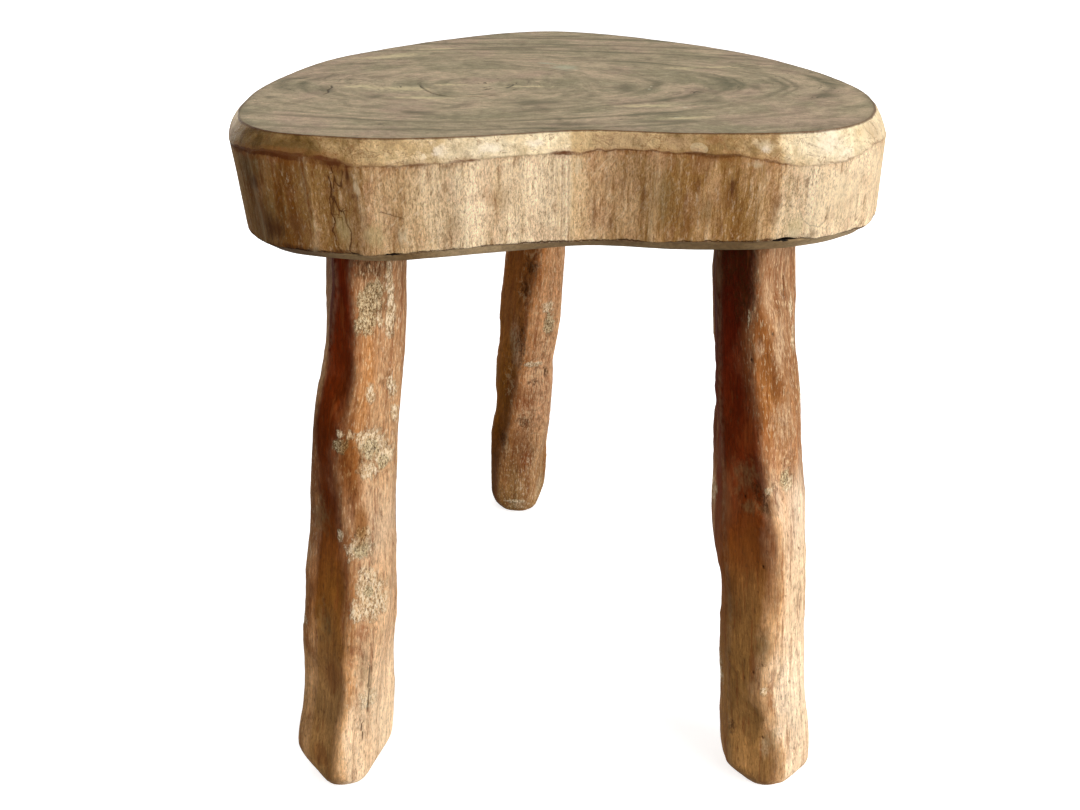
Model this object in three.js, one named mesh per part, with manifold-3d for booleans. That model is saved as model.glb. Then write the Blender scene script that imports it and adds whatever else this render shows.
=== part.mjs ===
// Three-legged milking stool: a thick hand-cut kidney-shaped slab seat on three
// splayed, hewn branch legs. Each leg ends in a round tenon that stops inside a
// blind mortise in the slab, and is spread there by a small hidden wedge.
//
// Millimetres, +Z up. The floor is z = 0, the hollow front edge of the seat looks
// towards -Y. The origin is the centre of the bounding box's bottom face.

import * as THREE from 'three';
import { mergeVertices } from 'three/addons/utils/BufferGeometryUtils.js';
import Module from 'manifold-3d';

// ---------------------------------------------------------------- dimensions
const SEAT_TOP_Z = 340;          // sitting height
const SEAT_UNDER_Z = 289.2;      // flat underside of the slab
const SEAT_CENTRE = [-0.5, -10.4];  // pole of the outline tables below
const SEAT_STEPS = 120;          // points around the slab's outline
const TENON_RADIUS = 14;         // round tenon at the top of every leg
const TENON_TIP_Z = 322.6;       // where the tenons stop inside the slab
const MORTISE_END_Z = 324.4;     // blind end of the mortises
const FIT_GAP = 0.3;             // clearance left between touching pieces
const SHOULDER_Z = SEAT_UNDER_Z - FIT_GAP;
const WEDGE_LENGTH = 18;
const WEDGE_WIDTH = 23;
const WEDGE_THICK = 3.6;         // thick end, against the blind end of the mortise
const WEDGE_THIN = 1.0;          // thin end, down in the saw kerf

// Outline of the flat top, as radii about SEAT_CENTRE every 7.5 degrees,
// counter-clockwise from +X.
const TOP_RADIUS = [
  128.0, 122.3, 118.2, 115.4, 112.8, 110.9, 110.3, 110.0, 111.0, 114.1, 117.5, 121.5,
  124.7, 123.9, 121.0, 117.4, 114.6, 113.4, 112.7, 113.6, 115.6, 119.3, 122.6, 125.5,
  129.3, 134.7, 141.5, 148.3, 156.3, 162.2, 160.9, 152.0, 143.5, 133.6, 124.6, 117.3,
  112.3, 112.3, 117.6, 125.9, 134.6, 145.4, 153.7, 156.3, 153.4, 147.8, 141.6, 134.3];
// Depth of the hand-cut upper chamfer, every 7.5 degrees.
const CHAMFER_DEPTH = [
  9.2, 9.4, 9.8, 10.2, 10.4, 10.2, 9.8, 9.4, 9.2, 9.3, 9.6, 10.0,
  10.4, 10.6, 10.4, 9.9, 9.4, 9.2, 9.3, 9.6, 9.9, 10.0, 9.8, 9.4,
  9.0, 8.8, 8.8, 9.0, 9.2, 9.0, 7.2, 8.1, 10.4, 9.7, 8.6, 8.1,
  8.1, 7.7, 6.9, 7.3, 8.3, 12.1, 12.8, 9.0, 10.5, 10.2, 9.6, 9.2];
// Outward growth over the flat top's outline, every 15 degrees: at the foot of the
// upper chamfer, at the foot of the wall, and at the rim of the underside.
const GROW_CHAMFER = [
  5.6, 5.1, 4.7, 4.5, 4.5, 4.5, 4.5, 4.5, 4.5, 4.5, 4.6, 4.8,
  5.0, 5.3, 5.5, 5.2, 4.6, 4.2, 3.8, 3.6, 4.0, 4.9, 5.8, 5.9];
const GROW_WALL = [
  5.6, 4.8, 4.0, 3.4, 3.0, 3.0, 3.0, 3.0, 3.0, 3.0, 2.9, 2.8,
  2.7, 2.6, 2.6, 2.6, 2.7, 2.8, 2.8, 2.8, 3.2, 4.6, 6.2, 6.3];
const GROW_RIM = [
  0.5, 0.0, -0.5, -1.0, -1.3, -1.4, -1.4, -1.4, -1.4, -1.4, -1.5, -1.6,
  -1.6, -1.6, -1.6, -1.6, -1.6, -1.6, -1.5, -1.5, -1.2, -0.6, 0.3, 0.7];
// Heights of the foot of the wall and of the rim, every 15 degrees.
const WALL_FOOT_Z = [
  293.6, 293.2, 293.4, 293.9, 294.2, 294.4, 294.1, 293.6, 293.3, 293.6, 294.0, 294.0,
  293.6, 293.6, 294.0, 293.2, 293.3, 295.7, 294.7, 295.7, 296.3, 296.6, 295.3, 294.0];
const RIM_Z = [
  289.6, 289.5, 289.6, 290.0, 290.2, 290.5, 290.2, 289.7, 289.5, 290.0, 290.2, 290.0,
  289.6, 289.6, 290.2, 290.1, 289.8, 292.1, 292.5, 294.4, 293.8, 293.2, 289.9, 289.6];

// Legs: centre line and half width across X every 20 mm of height from z = 10,
// the y of the centre line at z = 10 and z = 290, and where the ridges between
// the hewn faces run around the leg, in degrees: either a table over the same
// heights or one angle that wanders a little.
const LEG_STEPS = 36;
const LEGS = [
  { name: 'front_left', y: [-127.0, -96.5], seed: 1.7,
    x: [-112.9, -110.8, -108.0, -106.3, -104.9, -103.3, -101.6, -99.2, -97.8, -95.8, -93.3, -90.2, -88.2, -87.0, -85.8],
    r: [22.9, 23.9, 22.7, 22.6, 22.6, 22.0, 21.3, 20.7, 20.0, 19.7, 19.7, 18.7, 18.6, 18.6, 18.3],
    ridges: [
      [274, 272, 272, 275, 275, 278, 278, 272, 260, 256, 265, 273, 272, 267, 268],
      [306, 307, 310, 309, 314, 322, 328, 326, 330, 340, 346, 346, 343, 340, 335],
      18, 58, 102, 150,
      [205, 200, 196, 194, 198, 204, 200, 196, 198, 204, 217, 221, 229, 242, 243]],
    sole: 11.8, bevel: 15, wedgeTurn: 40 },
  { name: 'front_right', y: [-126.9, -92.6], seed: 4.2,
    x: [109.9, 108.6, 106.7, 104.6, 103.1, 101.7, 99.7, 98.0, 96.4, 94.4, 92.4, 90.4, 88.7, 87.1, 85.7],
    r: [22.1, 22.35, 21.8, 21.5, 21.1, 21.0, 21.8, 22.4, 21.2, 20.5, 20.0, 19.5, 19.1, 18.7, 18.4],
    ridges: [
      [286, 282, 268, 259, 266, 279, 284, 283, 278, 270, 263, 258, 255, 261, 260],
      [336, 330, 324, 328, 334, 339, 338, 335, 328, 318, 308, 298, 281, 267, 268],
      14, 58, 104, 152,
      [216, 212, 208, 210, 214, 218, 216, 212, 210, 208, 206, 208, 210, 208, 206]],
    sole: 11.8, bevel: 12, wedgeTurn: -40 },
  { name: 'rear', y: [131.14, 76.1], seed: 7.9,
    x: [-25.6, -24.8, -24.1, -22.7, -21.0, -19.9, -19.3, -17.2, -15.5, -13.7, -12.2, -11.0, -9.7, -8.5, -7.6],
    r: [19.2, 19.7, 20.2, 20.4, 19.5, 19.3, 18.9, 19.3, 19.6, 19.1, 18.5, 18.2, 17.9, 17.6, 17.3],
    ridges: [
      [226, 228, 231, 237, 244, 251, 259, 262, 264, 267, 276, 277, 275, 274, 274],
      [299, 302, 302, 309, 320, 326, 329, 330, 332, 334, 338, 338, 338, 338, 338],
      22, 68, 112, 150, 188],
    sole: 14.2, bevel: 8, wedgeTurn: 90 },
];

// ---------------------------------------------------------------- table lookup
function catmull(a, b, c, d, t) {
  return b + 0.5 * t * (c - a + t * (2 * a - 5 * b + 4 * c - d + t * (3 * (b - c) + d - a)));
}
function around(table, degrees) {
  const n = table.length;
  const s = (((degrees % 360) + 360) % 360) / 360 * n;
  const i = Math.floor(s) % n;
  return catmull(table[(i + n - 1) % n], table[i], table[(i + 1) % n], table[(i + 2) % n], s - Math.floor(s));
}
function along(table, z) {
  const n = table.length;
  const s = (z - 10) / 20;
  const i = Math.min(Math.max(Math.floor(s), 0), n - 2);
  const at = (k) => k < 0 ? 2 * table[0] - table[1] : k >= n ? 2 * table[n - 1] - table[n - 2] : table[k];
  if (s < 0) return table[0] + s * (table[1] - table[0]);
  if (s > n - 1) return table[n - 1] + (s - n + 1) * (table[n - 1] - table[n - 2]);
  return catmull(at(i - 1), at(i), at(i + 1), at(i + 2), s - i);
}

// ---------------------------------------------------------------- mesh helpers
// A lathe of `rings` rings whose points are moved to place(ring, degrees).
// The first and the last ring are single points on the axis.
function turned(rings, steps, place) {
  const profile = [];
  for (let j = 0; j < rings; j++) {
    profile.push(new THREE.Vector2(j === 0 || j === rings - 1 ? 0 : 1, rings - j));
  }
  const geometry = new THREE.LatheGeometry(profile, steps);
  const position = geometry.getAttribute('position');
  for (let i = 0; i <= steps; i++) {
    for (let j = 0; j < rings; j++) {
      const p = place(j, 360 * (i % steps) / steps);
      position.setXYZ(i * rings + j, p[0], p[1], p[2]);
    }
  }
  return closed(geometry);
}
// Merges shared vertices, drops collapsed triangles and turns the faces outwards.
function closed(geometry) {
  geometry.deleteAttribute('normal');
  geometry.deleteAttribute('uv');
  const merged = mergeVertices(geometry, 1e-4);
  const index = merged.getIndex().array;
  const p = merged.getAttribute('position').array;
  const kept = [];
  let volume = 0;
  for (let t = 0; t < index.length; t += 3) {
    const [a, b, c] = [index[t], index[t + 1], index[t + 2]];
    if (a === b || b === c || c === a) continue;
    kept.push(a, b, c);
    const [ax, ay, az, bx, by, bz, cx, cy, cz] = [a, b, c].flatMap((k) => [p[3 * k], p[3 * k + 1], p[3 * k + 2]]);
    volume += ax * (by * cz - bz * cy) + ay * (bz * cx - bx * cz) + az * (bx * cy - by * cx);
  }
  if (volume < 0) {
    for (let t = 0; t < kept.length; t += 3) [kept[t + 1], kept[t + 2]] = [kept[t + 2], kept[t + 1]];
  }
  merged.setIndex(kept);
  return merged;
}

const wasm = await Module();
wasm.setup();
function solid(geometry) {
  return new wasm.Manifold(new wasm.Mesh({
    numProp: 3,
    vertProperties: Float32Array.from(geometry.getAttribute('position').array),
    triVerts: Uint32Array.from(geometry.getIndex().array),
  }));
}
function geometryOf(manifold) {
  const mesh = manifold.getMesh();
  const geometry = new THREE.BufferGeometry();
  const flat = new Float32Array(mesh.numVert * 3);
  for (let v = 0; v < mesh.numVert; v++) {
    for (let k = 0; k < 3; k++) flat[3 * v + k] = mesh.vertProperties[v * mesh.numProp + k];
  }
  geometry.setAttribute('position', new THREE.BufferAttribute(flat, 3));
  geometry.setIndex([...mesh.triVerts]);
  geometry.computeVertexNormals();
  return geometry;
}

// ---------------------------------------------------------------- legs
const radians = (degrees) => degrees * Math.PI / 180;

function legCentre(leg, z) {
  return [along(leg.x, z), leg.y[0] + (z - 10) / 280 * (leg.y[1] - leg.y[0])];
}
// Direction of the leg's upper end, per millimetre of height.
function legSlope(leg) {
  const a = legCentre(leg, 230), b = legCentre(leg, 290);
  return [(b[0] - a[0]) / 60, (b[1] - a[1]) / 60];
}
// The ridges around the section at height z, as [degrees, radius] in order.
function ridgesAt(leg, z) {
  const s = z / 290;
  return leg.ridges.map((ridge, k) => {
    const degrees = Array.isArray(ridge) ? along(ridge, z)
      : ridge + 6 * Math.sin(2 * Math.PI * (0.9 * s + 0.29 * k) + leg.seed);
    const radius = 1 + 0.045 * Math.sin(2 * Math.PI * (1.3 * s + 0.37 * k) + leg.seed)
      + 0.03 * Math.sin(2 * Math.PI * (2.9 * s + 0.61 * k) + 2.3 * leg.seed);
    return [((degrees % 360) + 360) % 360, radius];
  }).sort((a, b) => a[0] - b[0]);
}
// Radius of the hewn section: flat faces from ridge to ridge.
function sectionRadius(ridges, degrees) {
  const angle = ((degrees % 360) + 360) % 360;
  const n = ridges.length;
  let k = ridges.findIndex((ridge) => ridge[0] > angle);
  if (k < 0) k = 0;
  const [a0, r0] = ridges[(k + n - 1) % n], [a1, r1] = ridges[k];
  const span = radians((((a1 - a0) % 360) + 360) % 360);
  const from = radians((((angle - a0) % 360) + 360) % 360);
  return r0 * r1 * Math.sin(span) / (r0 * Math.sin(from) + r1 * Math.sin(span - from));
}
// The section at height z, stretched so that its width across X is as given.
function sectionPoint(leg, degrees, z) {
  const ridges = ridgesAt(leg, z);
  let low = 0, high = 0;
  for (let a = 0; a < 360; a += 5) {
    const x = sectionRadius(ridges, a) * Math.cos(radians(a));
    low = Math.min(low, x);
    high = Math.max(high, x);
  }
  const scale = 2 * along(leg.r, z) / (high - low);
  const centre = legCentre(leg, z);
  const r = sectionRadius(ridges, degrees) * scale;
  return [centre[0] + r * Math.cos(radians(degrees)) - scale * (high + low) / 2,
    centre[1] + r * Math.sin(radians(degrees))];
}
// Point on the chiselled foot: the section drawn in towards a small flat sole.
function footPoint(leg, degrees, z, depth) {
  const p = sectionPoint(leg, degrees, depth);
  const top = legCentre(leg, depth), here = legCentre(leg, z);
  const dx = p[0] - top[0], dy = p[1] - top[1];
  const r = Math.hypot(dx, dy);
  const q = Math.min(leg.sole + (r - leg.sole) * (z / depth) ** 0.85, r);
  return [here[0] + dx / r * q, here[1] + dy / r * q, z];
}

const LEG_HEIGHTS = [];
for (let z = 26; z < 282; z += 14) LEG_HEIGHTS.push(z);
LEG_HEIGHTS.push(SHOULDER_Z);

function legGeometry(leg) {
  const slope = legSlope(leg);
  const shoulder = legCentre(leg, 290);
  const axisAt = (z) => [shoulder[0] + slope[0] * (z - 290), shoulder[1] + slope[1] * (z - 290)];
  const places = [];
  places.push(() => [...legCentre(leg, 0), 0]);
  places.push((a) => footPoint(leg, a, 0, leg.bevel));
  places.push((a) => footPoint(leg, a, leg.bevel * 0.45, leg.bevel));
  places.push((a) => [...sectionPoint(leg, a, leg.bevel), leg.bevel]);
  for (const z of LEG_HEIGHTS) places.push((a) => [...sectionPoint(leg, a, z), z]);
  const ring = (radius, z) => (a) => {
    const c = axisAt(z);
    return [c[0] + radius * Math.cos(radians(a)), c[1] + radius * Math.sin(radians(a)), z];
  };
  places.push(ring(TENON_RADIUS, SHOULDER_Z));
  places.push(ring(TENON_RADIUS, TENON_TIP_Z - 1.5));
  places.push(ring(TENON_RADIUS - 1.5, TENON_TIP_Z));
  places.push(() => [...axisAt(TENON_TIP_Z), TENON_TIP_Z]);
  const body = turned(places.length, LEG_STEPS, (j, a) => places[j](a));
  const kerf = new THREE.ExtrudeGeometry(wedgeShape(FIT_GAP, 4), { depth: 40, bevelEnabled: false });
  kerf.translate(0, 0, -20);
  kerf.applyMatrix4(wedgeMatrix(leg));
  return geometryOf(solid(body).subtract(solid(closed(kerf))));
}

// The wedge's outline, thick end up, drawn around its own thick end; `grow` makes
// the saw kerf that it sits in, `rise` carries the kerf past the tenon's tip.
function wedgeShape(grow, rise) {
  const halfTop = WEDGE_THICK / 2 + grow, halfLow = WEDGE_THIN / 2 + grow;
  const flare = (halfTop - halfLow) / WEDGE_LENGTH * rise;
  const shape = new THREE.Shape();
  shape.moveTo(-halfLow, -WEDGE_LENGTH - (rise ? 1.2 : 0));
  shape.lineTo(halfLow, -WEDGE_LENGTH - (rise ? 1.2 : 0));
  shape.lineTo(halfTop + flare, rise);
  shape.lineTo(-halfTop - flare, rise);
  shape.closePath();
  return shape;
}
// Places the wedge's outline on the leg's axis, just under the mortise's blind end.
function wedgeMatrix(leg) {
  const slope = legSlope(leg);
  const top = legCentre(leg, 290);
  const z = MORTISE_END_Z - FIT_GAP - 1.3;
  const up = new THREE.Vector3(slope[0], slope[1], 1).normalize();
  const turn = radians(leg.wedgeTurn);
  const side = new THREE.Vector3(Math.cos(turn), Math.sin(turn), 0);
  side.addScaledVector(up, -side.dot(up)).normalize();
  const matrix = new THREE.Matrix4().makeBasis(side, up, new THREE.Vector3().crossVectors(side, up));
  return matrix.setPosition(top[0] + slope[0] * (z - 290), top[1] + slope[1] * (z - 290), z);
}
function wedgeGeometry(leg) {
  const wedge = new THREE.ExtrudeGeometry(wedgeShape(0, 0), { depth: WEDGE_WIDTH, bevelEnabled: false });
  wedge.translate(0, 0, -WEDGE_WIDTH / 2);
  return closed(wedge);
}

// ---------------------------------------------------------------- seat
function seatPoint(ring, degrees) {
  const top = around(TOP_RADIUS, degrees);
  const at = (radius, z) => [
    SEAT_CENTRE[0] + radius * Math.cos(radians(degrees)),
    SEAT_CENTRE[1] + radius * Math.sin(radians(degrees)), z];
  const chamferZ = SEAT_TOP_Z - around(CHAMFER_DEPTH, degrees);
  const rim = top + around(GROW_RIM, degrees);
  switch (ring) {
    case 0: return at(0, SEAT_TOP_Z);
    case 1: return at(top * 0.6, SEAT_TOP_Z);
    case 2: return at(top, SEAT_TOP_Z);
    case 3: return at(top + 0.62 * around(GROW_CHAMFER, degrees), 0.5 * (SEAT_TOP_Z + chamferZ));
    case 4: return at(top + around(GROW_CHAMFER, degrees), chamferZ);
    case 5: return at(top + 0.5 * (around(GROW_CHAMFER, degrees) + around(GROW_WALL, degrees)),
      0.5 * (chamferZ + around(WALL_FOOT_Z, degrees)));
    case 6: return at(top + around(GROW_WALL, degrees), around(WALL_FOOT_Z, degrees));
    case 7: return at(rim, around(RIM_Z, degrees));
    case 8: return at(rim * 0.93, SEAT_UNDER_Z);
    default: return at(0, SEAT_UNDER_Z);
  }
}
function seatGeometry() {
  let slab = solid(turned(10, SEAT_STEPS, seatPoint));
  for (const leg of LEGS) {
    const slope = legSlope(leg), top = legCentre(leg, 290);
    const bore = new THREE.CylinderGeometry(TENON_RADIUS + FIT_GAP, TENON_RADIUS + FIT_GAP, 1, 24);
    bore.rotateX(Math.PI / 2);
    bore.rotateZ(Math.PI / 24);
    const low = SEAT_UNDER_Z - 3;
    const position = bore.getAttribute('position');
    for (let v = 0; v < position.count; v++) {
      const z = position.getZ(v) > 0 ? MORTISE_END_Z : low;
      position.setXYZ(v, position.getX(v) + top[0] + slope[0] * (z - 290),
        position.getY(v) + top[1] + slope[1] * (z - 290), z);
    }
    slab = slab.subtract(solid(closed(bore)));
  }
  return geometryOf(slab);
}

// ---------------------------------------------------------------- assembly
const seatWood = new THREE.MeshStandardMaterial({ name: 'seat_wood', color: 0xa8977c, roughness: 0.8, metalness: 0 });
const legWood = new THREE.MeshStandardMaterial({ name: 'leg_wood', color: 0x9c6a48, roughness: 0.7, metalness: 0 });
const wedgeWood = new THREE.MeshStandardMaterial({ name: 'wedge_wood', color: 0xb89b74, roughness: 0.8, metalness: 0 });

const stool = new THREE.Group();
stool.name = 'milking_stool';

function piece(name, geometry, material) {
  const mesh = new THREE.Mesh(geometry, material);
  mesh.name = name;
  stool.add(mesh);
  return mesh;
}

piece('seat_slab', seatGeometry(), seatWood);
for (const leg of LEGS) {
  piece(`${leg.name}_leg`, legGeometry(leg), legWood);
  const wedge = piece(`${leg.name}_fox_wedge`, wedgeGeometry(leg), wedgeWood);
  wedge.applyMatrix4(wedgeMatrix(leg));
}

export default stool;
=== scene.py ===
# Looks of the milking stool: a kidney-shaped end-grain slab on three hewn branch
# legs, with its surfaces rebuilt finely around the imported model.
import math
import bmesh
import bpy
import numpy as np
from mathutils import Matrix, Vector, geometry as mgeo


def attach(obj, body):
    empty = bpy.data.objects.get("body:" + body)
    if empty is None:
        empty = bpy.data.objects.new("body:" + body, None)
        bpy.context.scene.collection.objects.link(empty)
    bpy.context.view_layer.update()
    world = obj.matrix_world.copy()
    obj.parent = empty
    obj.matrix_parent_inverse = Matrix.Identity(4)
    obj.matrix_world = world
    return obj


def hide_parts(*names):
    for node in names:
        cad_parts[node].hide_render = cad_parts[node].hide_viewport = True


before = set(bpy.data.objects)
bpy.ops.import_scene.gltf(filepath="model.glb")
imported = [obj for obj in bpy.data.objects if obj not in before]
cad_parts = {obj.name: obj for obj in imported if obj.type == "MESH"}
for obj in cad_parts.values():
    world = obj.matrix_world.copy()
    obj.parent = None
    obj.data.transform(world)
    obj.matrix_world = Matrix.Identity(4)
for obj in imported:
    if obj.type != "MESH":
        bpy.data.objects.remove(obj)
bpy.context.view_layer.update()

# ------------------------------------------------------------------ dimensions
# The same tables as the solid model's, in millimetres.
TOP_Z, UNDER_Z = 340.0, 289.2
CENTRE = np.array([-0.5, -10.4])
TENON_R, TENON_TIP, MORTISE_END, GAP = 14.0, 322.6, 324.4, 0.3
SHOULDER = UNDER_Z - GAP
TOP_R = [
    128.0, 122.3, 118.2, 115.4, 112.8, 110.9, 110.3, 110.0, 111.0, 114.1, 117.5, 121.5,
    124.7, 123.9, 121.0, 117.4, 114.6, 113.4, 112.7, 113.6, 115.6, 119.3, 122.6, 125.5,
    129.3, 134.7, 141.5, 148.3, 156.3, 162.2, 160.9, 152.0, 143.5, 133.6, 124.6, 117.3,
    112.3, 112.3, 117.6, 125.9, 134.6, 145.4, 153.7, 156.3, 153.4, 147.8, 141.6, 134.3]
CHAMFER = [
    9.2, 9.4, 9.8, 10.2, 10.4, 10.2, 9.8, 9.4, 9.2, 9.3, 9.6, 10.0,
    10.4, 10.6, 10.4, 9.9, 9.4, 9.2, 9.3, 9.6, 9.9, 10.0, 9.8, 9.4,
    9.0, 8.8, 8.8, 9.0, 9.2, 9.0, 7.2, 8.1, 10.4, 9.7, 8.6, 8.1,
    8.1, 7.7, 6.9, 7.3, 8.3, 12.1, 12.8, 9.0, 10.5, 10.2, 9.6, 9.2]
GROW_C = [
    5.6, 5.1, 4.7, 4.5, 4.5, 4.5, 4.5, 4.5, 4.5, 4.5, 4.6, 4.8,
    5.0, 5.3, 5.5, 5.2, 4.6, 4.2, 3.8, 3.6, 4.0, 4.9, 5.8, 5.9]
GROW_W = [
    5.6, 4.8, 4.0, 3.4, 3.0, 3.0, 3.0, 3.0, 3.0, 3.0, 2.9, 2.8,
    2.7, 2.6, 2.6, 2.6, 2.7, 2.8, 2.8, 2.8, 3.2, 4.6, 6.2, 6.3]
GROW_R = [
    0.5, 0.0, -0.5, -1.0, -1.3, -1.4, -1.4, -1.4, -1.4, -1.4, -1.5, -1.6,
    -1.6, -1.6, -1.6, -1.6, -1.6, -1.6, -1.5, -1.5, -1.2, -0.6, 0.3, 0.7]
WALL_Z = [
    293.6, 293.2, 293.4, 293.9, 294.2, 294.4, 294.1, 293.6, 293.3, 293.6, 294.0, 294.0,
    293.6, 293.6, 294.2, 293.6, 293.7, 296.4, 295.8, 296.4, 296.6, 297.3, 295.6, 294.2]
RIM_Z = [
    289.6, 289.5, 289.6, 290.0, 290.2, 290.5, 290.2, 289.7, 289.5, 290.0, 290.2, 290.0,
    289.6, 289.6, 289.8, 290.0, 289.9, 292.1, 292.2, 293.1, 292.6, 293.1, 289.9, 289.6]
# Besides the shape, glow, haze, away and soft steer each leg's painted light. glow sets the painted highlight band past
# the lead ridge, haze widens the painted step between the lit and shaded sides, away is where the painted rim light
# starts, and soft rounds the ridges and widens that step.
LEGS = {
    "front_left": dict(
        y=(-127.0, -96.5), seed=1.7, sole=11.8, turn=40, haze=6, away=231,
        glow=[0, 0, 0.1, 0.3, 0.35, 0.3, 0.15, 0.4, 0.9, 0.95, 0.95, 0.95, 0.8, 0.2, 0],
        soft=[0.55, 0.45, 0.35, 0.35, 0.40, 0.48, 0.58, 0.68, 0.80, 0.85, 0.75, 0.5, 0.35, 0.3, 0.3],
        x=[-112.9, -110.8, -108.0, -106.3, -104.9, -103.3, -101.6, -99.2, -97.8, -95.8, -93.3, -90.2, -88.2, -87.0, -85.8],
        r=[22.9, 23.9, 22.7, 22.6, 22.6, 22.0, 21.3, 20.7, 20.0, 19.7, 19.7, 18.7, 18.6, 18.6, 18.3],
        ridges=[
            [274, 272, 272, 275, 275, 278, 278, 272, 260, 256, 265, 273, 272, 267, 268],
            [306, 307, 310, 309, 314, 322, 328, 326, 330, 340, 346, 346, 343, 340, 335],
            378, 418, 462, 510,
            [565, 560, 556, 554, 558, 564, 560, 556, 558, 564, 577, 581, 589, 602, 603]]),
    "front_right": dict(
        y=(-126.9, -92.6), seed=4.2, sole=11.8, turn=-40, haze=10, away=187,
        glow=[0, 0, 0, 0, 0.1, 0.25, 0.3, 0.4, 0.8, 1.0, 1.0, 1.0, 0.9, 0.3, 0],
        soft=[0.6, 0.6, 0.7, 0.85, 0.95, 0.9, 0.75, 0.6, 0.5, 0.5, 0.55, 0.6, 0.6, 0.55, 0.5],
        x=[109.9, 108.6, 106.7, 104.6, 103.1, 101.7, 99.7, 98.0, 96.4, 94.4, 92.4, 90.4, 88.7, 87.1, 85.7],
        r=[22.1, 22.35, 21.8, 21.5, 21.1, 21.0, 21.8, 22.4, 21.2, 20.5, 20.0, 19.5, 19.1, 18.7, 18.4],
        ridges=[
            [286, 282, 268, 259, 266, 279, 284, 283, 278, 270, 263, 258, 255, 261, 260],
            [336, 330, 324, 328, 334, 339, 338, 335, 328, 318, 308, 298, 281, 267, 268],
            374, 418, 464, 512,
            [576, 572, 568, 570, 574, 578, 576, 572, 570, 568, 566, 568, 570, 568, 566]]),
    "rear": dict(
        y=(131.14, 76.1), seed=7.9, sole=14.2, turn=90, haze=14, away=200,
        glow=[0.1, 0.3, 0.3, 0.3, 0.3, 0.3, 0.3, 0.3, 0.3, 0.3, 0.3, 0.3, 0.3, 0.3, 0.1],
        soft=[0.6, 0.6, 0.6, 0.6, 0.6, 0.65, 0.7, 0.7, 0.7, 0.7, 0.65, 0.6, 0.6, 0.6, 0.6],
        x=[-25.6, -24.8, -24.1, -22.7, -21.0, -19.9, -19.3, -17.2, -15.5, -13.7, -12.2, -11.0, -9.7, -8.5, -7.6],
        r=[19.2, 19.7, 20.2, 20.4, 19.5, 19.3, 18.9, 19.3, 19.6, 19.1, 18.5, 18.2, 17.9, 17.6, 17.3],
        ridges=[
            [226, 228, 231, 237, 244, 251, 259, 262, 264, 267, 276, 277, 275, 274, 274],
            [299, 302, 302, 309, 320, 326, 329, 330, 332, 334, 338, 338, 338, 338, 338],
            382, 428, 472, 510, 548]),
}


# ------------------------------------------------------------------ small maths
def around(table, degrees):
    """Periodic smooth lookup of a table that goes once around."""
    t = np.asarray(table, float)
    n = len(t)
    s = np.mod(np.asarray(degrees, float), 360.0) / 360.0 * n
    i = np.floor(s).astype(int)
    u = s - i
    a, b, c, d = t[(i - 1) % n], t[i % n], t[(i + 1) % n], t[(i + 2) % n]
    return b + 0.5 * u * (c - a + u * (2 * a - 5 * b + 4 * c - d + u * (3 * (b - c) + d - a)))


def along(table, z):
    """Smooth lookup of a leg table: one value every 20 mm of height from z = 10."""
    t = np.asarray(table, float)
    n = len(t)
    t = np.concatenate([[2 * t[0] - t[1]], t, [2 * t[-1] - t[-2]]])
    s = (np.asarray(z, float) - 10.0) / 20.0
    i = np.clip(np.floor(s).astype(int), 0, n - 2)
    u = s - i
    a, b, c, d = t[i], t[i + 1], t[i + 2], t[i + 3]
    inside = b + 0.5 * u * (c - a + u * (2 * a - 5 * b + 4 * c - d + u * (3 * (b - c) + d - a)))
    low = t[1] + s * (t[2] - t[1])
    high = t[n] + (s - n + 1) * (t[n] - t[n - 1])
    return np.where(s < 0, low, np.where(s > n - 1, high, inside))


def smooth(lo, hi, v):
    u = np.clip((np.asarray(v, float) - lo) / (hi - lo), 0, 1)
    return u * u * (3 - 2 * u)


class Noise:
    """Seeded gradient noise in three dimensions, about -1 to 1."""

    def __init__(self, seed):
        rng = np.random.RandomState(seed)
        self.p = np.tile(rng.permutation(256), 3)
        g = rng.normal(size=(256, 3))
        self.g = g / np.linalg.norm(g, axis=1)[:, None]

    def one(self, x, y, z):
        xi, yi, zi = (np.floor(v).astype(int) for v in (x, y, z))
        fx, fy, fz = x - xi, y - yi, z - zi
        u, v, w = (t * t * t * (t * (t * 6 - 15) + 10) for t in (fx, fy, fz))
        total = 0
        for dx in (0, 1):
            for dy in (0, 1):
                for dz in (0, 1):
                    h = self.p[(self.p[(self.p[(xi + dx) & 255] + yi + dy) & 255] + zi + dz) & 255]
                    g = self.g[h]
                    d = g[..., 0] * (fx - dx) + g[..., 1] * (fy - dy) + g[..., 2] * (fz - dz)
                    total = total + d * (u if dx else 1 - u) * (v if dy else 1 - v) * (w if dz else 1 - w)
        return total * 1.6

    def __call__(self, x, y, z, octaves=1, gain=0.5):
        x, y, z = np.broadcast_arrays(np.asarray(x, float), np.asarray(y, float), np.asarray(z, float))
        out, amp, k = 0, 1.0, 1.0
        for o in range(octaves):
            out = out + amp * self.one(x * k + 17.3 * o, y * k - 9.1 * o, z * k + 5.7 * o)
            amp *= gain
            k *= 2.03
        return out


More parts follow.
